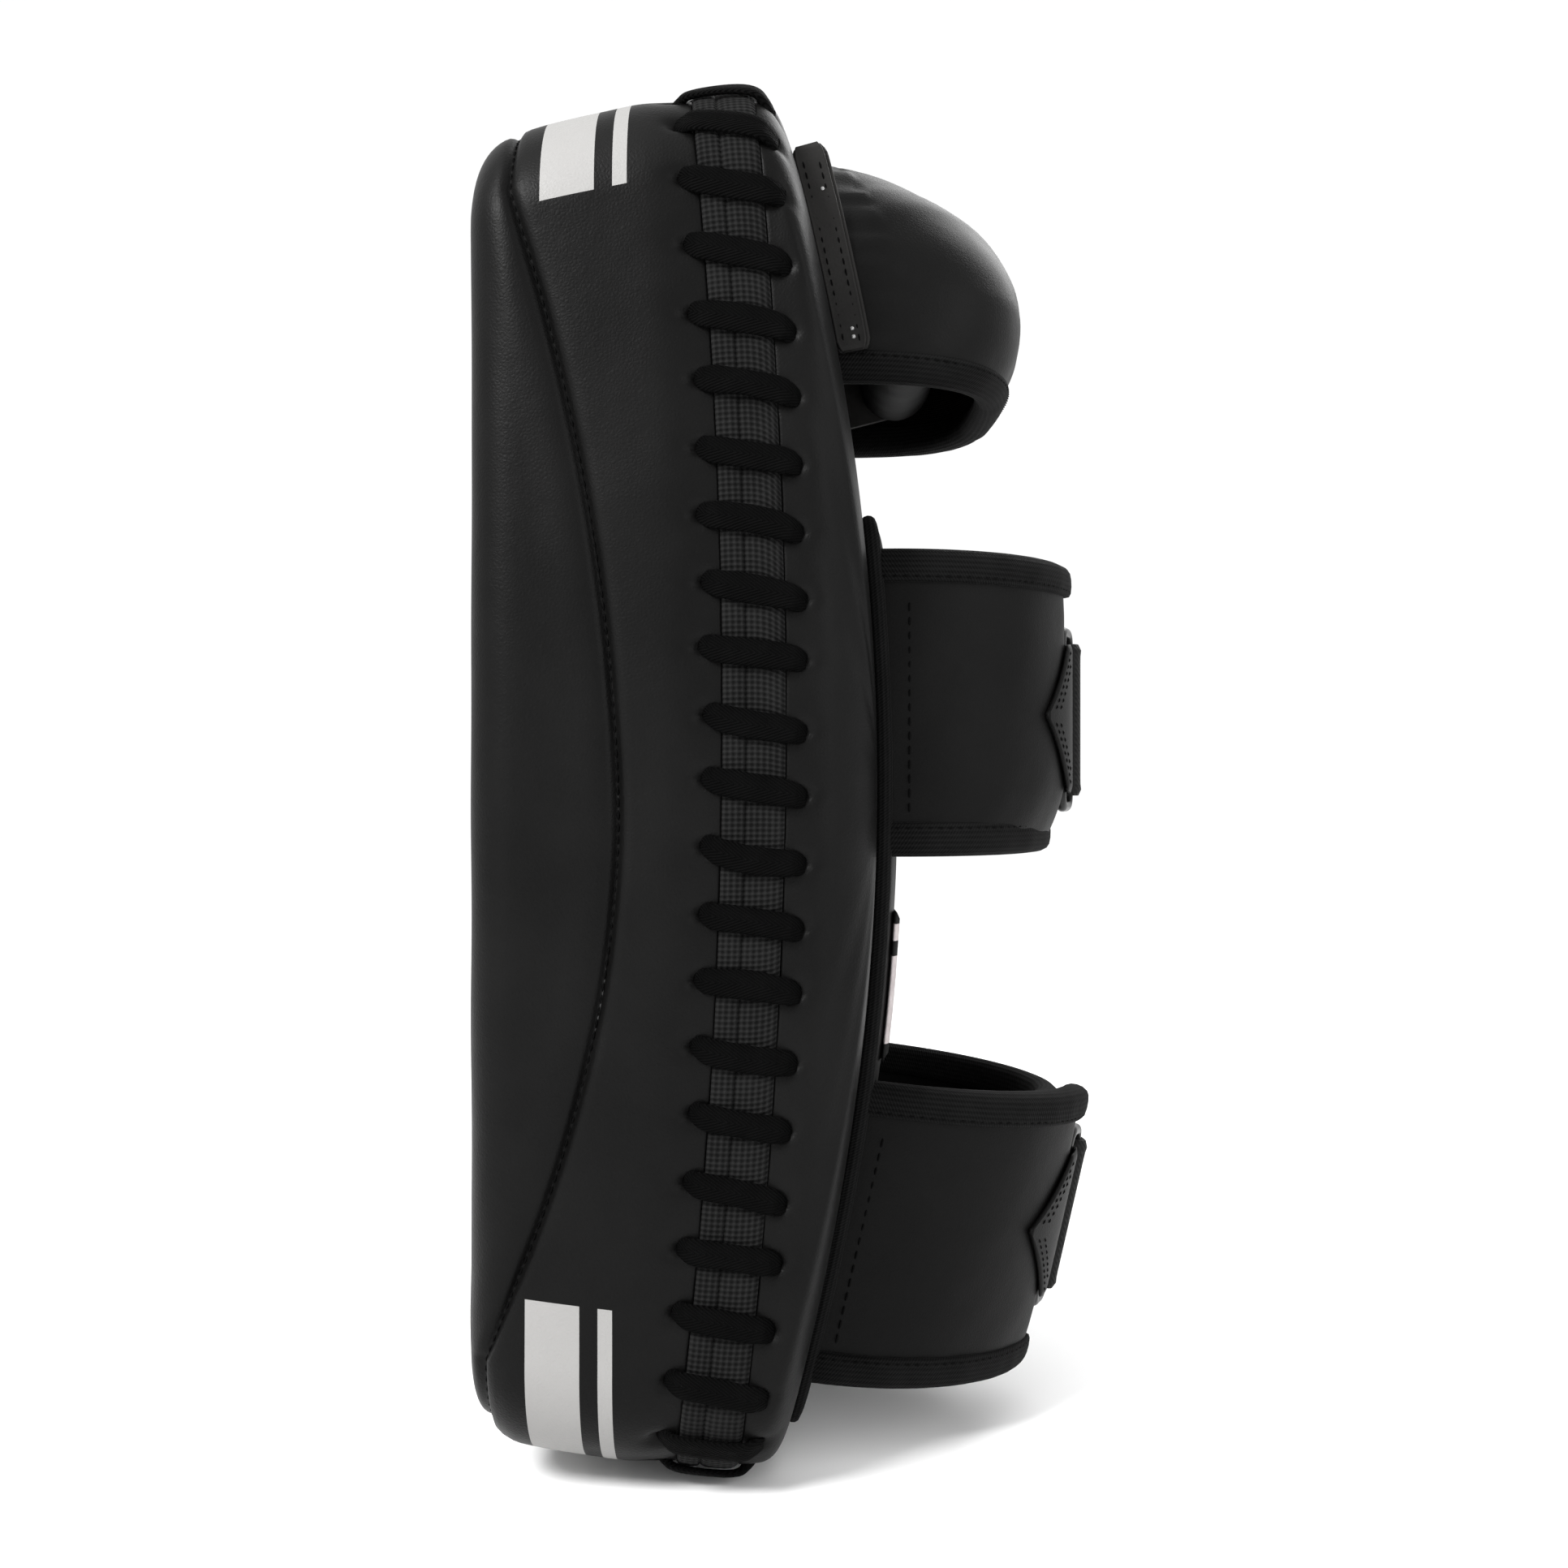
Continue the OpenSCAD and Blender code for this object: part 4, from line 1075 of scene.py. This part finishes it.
cuffs = {}
for name, cuff in CUFFS.items():
    made = dict(near=flap_mesh(f"{name}_near_cushion", cuff, NEAR_K, (-8, 75), CUFF_H / 2, 1, 81),
                far=flap_mesh(f"{name}_far_cushion", cuff, FAR_K, (48, 188), CUFF_H / 2 - 4, -1, 83))
    made["near_edges"] = flap_edges(f"{name}_near", cuff, NEAR_K, (-6, 74), CUFF_H / 2, 85)
    made["far_edges"] = flap_edges(f"{name}_far", cuff, FAR_K, (50, 186), CUFF_H / 2 - 4, 87)
    made["strap"] = strap_meshes(name, cuff)
    made["anchor"] = anchor_mesh(name, cuff)
    made["attach"] = attach_stitches(f"{name}_attach_stitches", cuff, 2.6, NEAR_K[1] + 0.1, CUFF_H / 2 - 8)
    cuffs[name] = made


# --- Materials ---


class Shader:
    """A small helper that adds and links nodes in one material."""

    def __init__(self, name):
        self.material = bpy.data.materials.new(name)
        self.material.use_nodes = True
        self.tree = self.material.node_tree
        self.bsdf = self.tree.nodes["Principled BSDF"]

    def node(self, kind, values=None, **links):
        n = self.tree.nodes.new(kind)
        for key, value in (values or {}).items():
            if key in n.inputs and not hasattr(n, key):
                n.inputs[key].default_value = value
            else:
                setattr(n, key, value)
        for key, source in links.items():
            self.tree.links.new(source, n.inputs[key.replace("_", " ")])
        return n

    def link(self, source, socket):
        self.tree.links.new(source, socket)

    def math(self, operation, a, b=None, c=None):
        n = self.tree.nodes.new("ShaderNodeMath")
        n.operation = operation
        for i, value in enumerate((a, b, c)):
            if value is None:
                continue
            if hasattr(value, "links"):
                self.link(value, n.inputs[i])
            else:
                n.inputs[i].default_value = value
        return n.outputs[0]

    def coords(self, kind="Object"):
        return self.tree.nodes.new("ShaderNodeTexCoord").outputs[kind]

    def noise(self, scale, detail=3.0, kind="Object", rough=0.55):
        n = self.tree.nodes.new("ShaderNodeTexNoise")
        n.inputs["Scale"].default_value = scale
        n.inputs["Detail"].default_value = detail
        n.inputs["Roughness"].default_value = rough
        self.link(self.coords(kind), n.inputs["Vector"])
        return n.outputs["Fac"]

    def cells(self, scale, feature="F1", kind="Object"):
        n = self.tree.nodes.new("ShaderNodeTexVoronoi")
        n.feature = feature
        n.inputs["Scale"].default_value = scale
        self.link(self.coords(kind), n.inputs["Vector"])
        return n.outputs["Distance"]

    def ramp(self, fac, stops):
        n = self.tree.nodes.new("ShaderNodeValToRGB")
        self.link(fac, n.inputs["Fac"])
        while len(n.color_ramp.elements) < len(stops):
            n.color_ramp.elements.new(0.5)
        for element, (place, colour) in zip(n.color_ramp.elements, stops):
            element.position = place
            element.color = (*colour, 1)
        return n.outputs["Color"]

    def remap(self, value, low, high):
        n = self.tree.nodes.new("ShaderNodeMapRange")
        self.link(value, n.inputs["Value"])
        n.inputs["To Min"].default_value = low
        n.inputs["To Max"].default_value = high
        return n.outputs["Result"]

    def bump(self, height, strength, distance, under=None):
        n = self.tree.nodes.new("ShaderNodeBump")
        n.inputs["Strength"].default_value = strength
        n.inputs["Distance"].default_value = distance
        self.link(height, n.inputs["Height"])
        if under is not None:
            self.link(under, n.inputs["Normal"])
        return n.outputs["Normal"]

    def done(self, colour=None, roughness=None, normal=None, **fixed):
        for value, socket in ((colour, "Base Color"), (roughness, "Roughness"), (normal, "Normal")):
            if value is not None:
                self.link(value, self.bsdf.inputs[socket])
        for key, value in fixed.items():
            self.bsdf.inputs[key.replace("_", " ")].default_value = value
        return self.material


def grey(v, warm=0.0):
    return (v * (1 + warm), v, v * (1 - warm))


def leather(name, low, high, grain=900.0, gloss=(0.36, 0.52), warm=0.02, specular=0.08, relief=0.3):
    """Grained leather: small cells, fine creases, soft patches of wear and gloss."""
    s = Shader(name)
    patches = s.noise(22, 4)
    colour = s.ramp(patches, [(0.3, grey(low, warm)), (0.7, grey(high, warm))])
    cell = s.cells(grain, "DISTANCE_TO_EDGE")
    fine = s.noise(grain * 2.2, 2)
    normal = s.bump(cell, relief, 0.0003)
    normal = s.bump(fine, 0.10, 0.0002, normal)
    normal = s.bump(s.noise(60, 5), 0.2, 0.0014, normal)
    rough = s.remap(s.math("ADD", s.math("MULTIPLY", s.noise(45, 4), 0.7), s.math("MULTIPLY", fine, 0.3)),
                    *gloss)
    return s.done(colour, rough, normal, Specular_IOR_Level=specular)


def marked_leather(name, low, high):
    """The gusset's leather, with a wide and a narrow plain pale band round each end of the pad."""
    s = Shader(name)
    patches = s.noise(22, 4)
    base = s.ramp(patches, [(0.3, grey(low, 0.02)), (0.7, grey(high, 0.02))])
    split = s.tree.nodes.new("ShaderNodeSeparateXYZ")
    s.link(s.coords("UV"), split.inputs[0])
    along, depth = split.outputs[0], split.outputs[1]
    half = RIM_LENGTH / 2 * MM
    # the same on both sides: distance from the middle of the lower end
    from_low = s.math("SUBTRACT", half, s.math("ABSOLUTE", s.math("SUBTRACT", along, half)))
    mask = None
    for start, end, near in TRIM_ENDS:
        inside = s.math("MULTIPLY", s.math("GREATER_THAN", from_low, start * MM),
                        s.math("LESS_THAN", from_low, end * MM))
        for gap, wide in TRIM_BANDS:
            middle = (near + gap + wide / 2) * MM
            band = s.math("LESS_THAN", s.math("ABSOLUTE", s.math("SUBTRACT", depth, middle)), wide / 2 * MM)
            one = s.math("MULTIPLY", band, inside)
            mask = one if mask is None else s.math("MAXIMUM", mask, one)
    wear = s.math("GREATER_THAN", s.noise(500, 3), 0.22)
    mask = s.math("MULTIPLY", mask, wear)
    mix = s.tree.nodes.new("ShaderNodeMix")
    mix.data_type = "RGBA"
    s.link(mask, mix.inputs["Factor"])
    s.link(base, mix.inputs[6])
    mix.inputs[7].default_value = (0.235, 0.232, 0.227, 1)
    normal = s.bump(s.cells(900, "DISTANCE_TO_EDGE"), 0.3, 0.0003)
    normal = s.bump(s.noise(60, 5), 0.2, 0.0014, normal)
    rough = s.remap(s.noise(45, 4), 0.36, 0.52)
    return s.done(mix.outputs[2], rough, normal, Specular_IOR_Level=0.08)


TOP_MIDDLE = RIM_LENGTH / 2
# each end's first and last distance along the rim, and the depth at which its bands begin
TRIM_ENDS = ((TOP_MIDDLE - 116, TOP_MIDDLE + 1, 21), (-1, 136, 17))
# each band's distance behind the first one's front edge, and its width
TRIM_BANDS = ((0, 15), (20, 4))


def woven(name, low, high, across=1.1, along=0.9, twill=0.5, sheen=0.01, rough=0.82, depth=0.5,
          specular=0.05):
    """Woven tape or strap: ribs along and across it, on its own length and width; its colour carries painted
    shade in the weave's grooves and a painted highlight on its crests.
    """
    s = Shader(name)
    split = s.tree.nodes.new("ShaderNodeSeparateXYZ")
    s.link(s.coords("UV"), split.inputs[0])
    u, v = split.outputs[0], split.outputs[1]
    ribs = s.math("SINE", s.math("MULTIPLY", v, 2 * math.pi / (across * MM)))
    slant = s.math("ADD", s.math("MULTIPLY", u, 2 * math.pi / (along * MM)),
                   s.math("MULTIPLY", v, twill * 2 * math.pi / (across * MM)))
    weft = s.math("SINE", slant)
    height = s.math("ADD", s.math("MULTIPLY", ribs, 0.25), s.math("MULTIPLY", weft, 0.25))
    height = s.math("ADD", height, 0.5)
    # painted shade and highlight: the colour follows the weave's height, darker in its grooves and lighter on
    # its crests, mixed with a random mottle
    groove_shade_and_mottle = s.math("ADD", s.math("MULTIPLY", height, 0.6), s.math("MULTIPLY", s.noise(90, 3), 0.4))
    colour = s.ramp(groove_shade_and_mottle, [(0.25, grey(low)), (0.75, grey(high))])
    normal = s.bump(height, depth, 0.0006)
    normal = s.bump(s.noise(2500, 2), 0.25, 0.0002, normal)
    roughness = s.remap(s.noise(120, 2), rough - 0.08, min(rough + 0.08, 1))
    return s.done(colour, roughness, normal, Specular_IOR_Level=specular, Sheen_Weight=sheen,
                  Sheen_Roughness=0.45)


def barred_label(name):
    """The label's weave with a wide and a narrow plain pale bar across it."""
    s = Shader(name)
    split = s.tree.nodes.new("ShaderNodeSeparateXYZ")
    s.link(s.coords("UV"), split.inputs[0])
    x, z = split.outputs[0], split.outputs[1]
    weave = s.math("MULTIPLY", s.math("SINE", s.math("MULTIPLY", x, 2 * math.pi / (0.8 * MM))),
                   s.math("SINE", s.math("MULTIPLY", z, 2 * math.pi / (0.8 * MM))))
    mask = None
    for middle, wide in ((0.136, 0.026), (0.156, 0.005)):
        bar = s.math("LESS_THAN", s.math("ABSOLUTE", s.math("SUBTRACT", z, middle)), wide / 2)
        mask = bar if mask is None else s.math("MAXIMUM", mask, bar)
    mix = s.tree.nodes.new("ShaderNodeMix")
    mix.data_type = "RGBA"
    s.link(mask, mix.inputs["Factor"])
    s.link(s.ramp(s.noise(300, 3), [(0.3, grey(0.003)), (0.7, grey(0.006))]), mix.inputs[6])
    s.link(s.ramp(s.noise(400, 3), [(0.3, (0.40, 0.36, 0.36)), (0.7, (0.50, 0.46, 0.46))]), mix.inputs[7])
    return s.done(mix.outputs[2], s.remap(s.noise(200, 2), 0.7, 0.85), s.bump(weave, 0.4, 0.0003),
                  Specular_IOR_Level=0.15)


def braided(name, low, high):
    """A flat braid: strands crossing in a herringbone along the lace; its colour carries painted shade
    between the strands and a painted highlight on their tops.
    """
    s = Shader(name)
    split = s.tree.nodes.new("ShaderNodeSeparateXYZ")
    s.link(s.coords("UV"), split.inputs[0])
    u, v = split.outputs[0], split.outputs[1]
    vee = s.math("MULTIPLY", s.math("ABSOLUTE", v), 2.0)
    strands = s.math("SINE", s.math("MULTIPLY", s.math("ADD", u, vee), 2 * math.pi / (1.7 * MM)))
    threads = s.math("SINE", s.math("MULTIPLY", s.math("SUBTRACT", u, vee), 2 * math.pi / (0.42 * MM)))
    height = s.math("ADD", s.math("MULTIPLY", strands, 0.4), s.math("MULTIPLY", threads, 0.1))
    # painted shade and highlight: the colour follows the braid's height, darker between the strands and
    # lighter on them, mixed with a random mottle
    groove_shade_and_mottle = s.math("ADD", s.math("MULTIPLY", height, 0.6), s.math("MULTIPLY", s.noise(150, 3), 0.8))
    colour = s.ramp(groove_shade_and_mottle, [(0.1, grey(low)), (0.8, grey(high))])
    normal = s.bump(height, 0.9, 0.0011)
    return s.done(colour, s.remap(s.noise(200, 2), 0.6, 0.8), normal, Specular_IOR_Level=0.03)


def speckled(name, low, high, scale, relief, distance, rough=0.85, warm=0.0, **fixed):
    """Foam, pile, thread, wood and paint: a mottled colour with a bump of its own grain."""
    s = Shader(name)
    n = s.noise(scale, 4)
    colour = s.ramp(n, [(0.3, grey(low, warm)), (0.7, grey(high, warm))])
    normal = s.bump(n, relief, distance)
    return s.done(colour, s.remap(s.noise(scale / 3, 2), rough - 0.06, min(rough + 0.06, 1)), normal, **fixed)


LEATHER_DARK = 0.0014
LEATHER_LIGHT = 0.0030
body_leather = leather("body_leather", LEATHER_DARK, LEATHER_LIGHT)
gusset_leather = marked_leather("gusset_leather", LEATHER_DARK, LEATHER_LIGHT)
soft_leather = leather("cuff_leather", 0.0014, 0.0028, grain=1100, gloss=(0.42, 0.58), specular=0.07)
guard_leather = leather("guard_leather", 0.0014, 0.0030, grain=900, gloss=(0.38, 0.54))
raw_leather = leather("strip_leather", 0.006, 0.014, grain=700, gloss=(0.55, 0.7), warm=0.05, specular=0.15)
grip_leather = leather("grip_leather", 0.003, 0.005, grain=1000, gloss=(0.55, 0.7), specular=0.05)
edge_tape_mat = woven("edge_tape", 0.0022, 0.0115, across=1.7, along=1.5, twill=0.0, depth=0.9)
cuff_tape_mat = woven("cuff_tape", 0.0012, 0.006, across=1.5, along=0.9, twill=1.0)
strap_mat = woven("strap_weave", 0.0015, 0.006, across=1.9, along=1.3, twill=1.0, rough=0.7, specular=0.14)
lace_mat = braided("lace_braid", 0.0008, 0.0032)
lining_mat = woven("guard_lining", 0.001, 0.0025, across=0.8, along=0.8, twill=0.0, rough=0.9)
label_mat = barred_label("label_weave")
thread_mat = speckled("dark_thread", 0.0008, 0.0024, 3000, 0.4, 0.0002, 0.75, Specular_IOR_Level=0.04)
pale_thread_mat = speckled("pale_thread", 0.25, 0.5, 3000, 0.4, 0.0002, 0.65, Specular_IOR_Level=0.3)
pile_mat = speckled("pile", 0.002, 0.008, 2600, 0.9, 0.0008, 0.95, Specular_IOR_Level=0.1, Sheen_Weight=0.05)
paint_mat = speckled("black_paint", 0.004, 0.006, 500, 0.06, 0.0002, 0.32, Specular_IOR_Level=0.22)
foam_mat = speckled("foam", 0.05, 0.08, 1500, 0.5, 0.0006, 0.9)
board_mat = speckled("board", 0.03, 0.05, 400, 0.3, 0.0004, 0.8)
wood_mat = speckled("core_wood", 0.3, 0.42, 90, 0.3, 0.0005, 0.6, warm=0.25)

# --- What each piece is, rides on and stands for ---


def piece(obj, material, body="root", replaces=()):
    obj.data.materials.clear()
    obj.data.materials.append(material)
    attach(obj, body)
    if replaces:
        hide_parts(*replaces)


piece(face, body_leather, replaces=["face_panel"])
piece(gusset, gusset_leather, replaces=["side_gusset"])
piece(back, body_leather, replaces=["back_cover"])
piece(front_tape, edge_tape_mat, replaces=["front_edge_binding"])
piece(rear_tape, edge_tape_mat, replaces=["rear_edge_binding"])
piece(lace, lace_mat, replaces=["lace"])
piece(knot, lace_mat, replaces=["lace_knot"])
piece(seam_thread, thread_mat)
piece(arm_pad, soft_leather, replaces=["arm_pad_cover", "arm_pad_foam"])
piece(arm_binding, cuff_tape_mat, replaces=["arm_pad_binding"])
piece(arm_thread, thread_mat)
piece(label, label_mat, replaces=["arm_pad_label"])
piece(guard, guard_leather, replaces=["guard_leather", "guard_foam"])
piece(lining, lining_mat, replaces=["guard_lining"])
piece(guard_tape, cuff_tape_mat, replaces=["guard_binding"])
piece(guard_thread, thread_mat)
for i, strip in enumerate(flanges):
    piece(strip, raw_leather, replaces=["guard_flanges"] if i == 0 else ())
for run in flange_threads:
    piece(run, thread_mat)
for run in flange_dots:
    piece(run, pale_thread_mat)
piece(grip, grip_leather, replaces=["grip_leather"])

for name, made in cuffs.items():
    piece(made["near"], soft_leather, replaces=[f"{name}_near_flap"])
    piece(made["far"], soft_leather, replaces=[f"{name}_far_flap"])
    for side in ("near", "far"):
        edges = made[f"{side}_edges"]
        for i, obj in enumerate(edges):
            is_tape = i % 2 == 0
            piece(obj, cuff_tape_mat if is_tape else thread_mat,
                  replaces=[f"{name}_{side}_binding"] if i == 0 else ())
    base, crease, tail, loop, hook, lines = made["strap"]
    tail_body = f"{name}_strap_tail"
    piece(base, strap_mat, replaces=[f"{name}_strap"])
    piece(tail, strap_mat, tail_body, replaces=[f"{name}_strap_end"])
    piece(loop, pile_mat, replaces=[f"{name}_loop_patch"])
    piece(hook, pile_mat, tail_body, replaces=[f"{name}_hook_patch"])
    for run in lines:
        piece(run, thread_mat, tail_body)
    crease.data.materials.append(strap_mat)
    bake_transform(crease)
    tab, tab_lines = made["anchor"]
    piece(tab, soft_leather, replaces=[f"{name}_anchor_tab"])
    for run in tab_lines:
        piece(run, thread_mat)
    piece(made["attach"], thread_mat)

CAD_MATERIALS = {"soft_foam": foam_mat, "dense_foam": foam_mat, "back_board": board_mat,
                 "grip_core": wood_mat,
                 "grip_foam": foam_mat, "grip_tabs": raw_leather, "grip_rivets": paint_mat,
                 "upper_ring": paint_mat, "lower_ring": paint_mat}
for node_name, material in CAD_MATERIALS.items():
    for slot in bpy.data.objects[node_name].material_slots:
        slot.material = material

# --- Camera, light and floor ---

VIEW_FROM = (0.600, -0.0062, 0.200)
VIEW_ANGLE = 46.54

camera_data = bpy.data.cameras.new("camera")
camera_data.angle = math.radians(VIEW_ANGLE)
camera = bpy.data.objects.new("camera", camera_data)
camera.location = VIEW_FROM
camera.rotation_euler = (math.pi / 2, 0, math.pi / 2)
bpy.context.scene.collection.objects.link(camera)
bpy.context.scene.camera = camera


def area_light(name, place, target, size, power):
    data = bpy.data.lights.new(name, "AREA")
    data.shape = "DISK"
    data.size = size
    data.energy = power
    obj = bpy.data.objects.new(name, data)
    obj.location = place
    obj.rotation_euler = (Vector(target) - Vector(place)).to_track_quat("-Z", "Y").to_euler()
    bpy.context.scene.collection.objects.link(obj)


MIDDLE = (0, 0, 0.2)
area_light("key", (1.0, -0.9, 1.15), MIDDLE, 0.55, 40)
area_light("fill", (0.9, 1.3, 0.7), MIDDLE, 1.0, 7)
area_light("back", (-0.9, 0.6, 1.2), MIDDLE, 1.0, 9)

sun_data = bpy.data.lights.new("overhead", "SUN")
sun_data.energy = 0.5
sun_data.angle = math.radians(40)
sun = bpy.data.objects.new("overhead", sun_data)
sun.rotation_euler = (math.radians(12), math.radians(20), 0)
bpy.context.scene.collection.objects.link(sun)

scene_world = bpy.data.worlds.new("studio")
scene_world.use_nodes = True
scene_world.node_tree.nodes["Background"].inputs["Color"].default_value = (1, 1, 1, 1)
scene_world.node_tree.nodes["Background"].inputs["Strength"].default_value = 1.02
bpy.context.scene.world = scene_world
bpy.context.scene.view_settings.view_transform = "Standard"

floor = new_object("floor", [(-6, -6, 0), (6, -6, 0), (6, 6, 0), (-6, 6, 0)], [(0, 1, 2, 3)], smooth=False)
floor.data.materials.append(speckled("pale_floor", 0.88, 0.91, 3, 0.02, 0.001, 0.8))
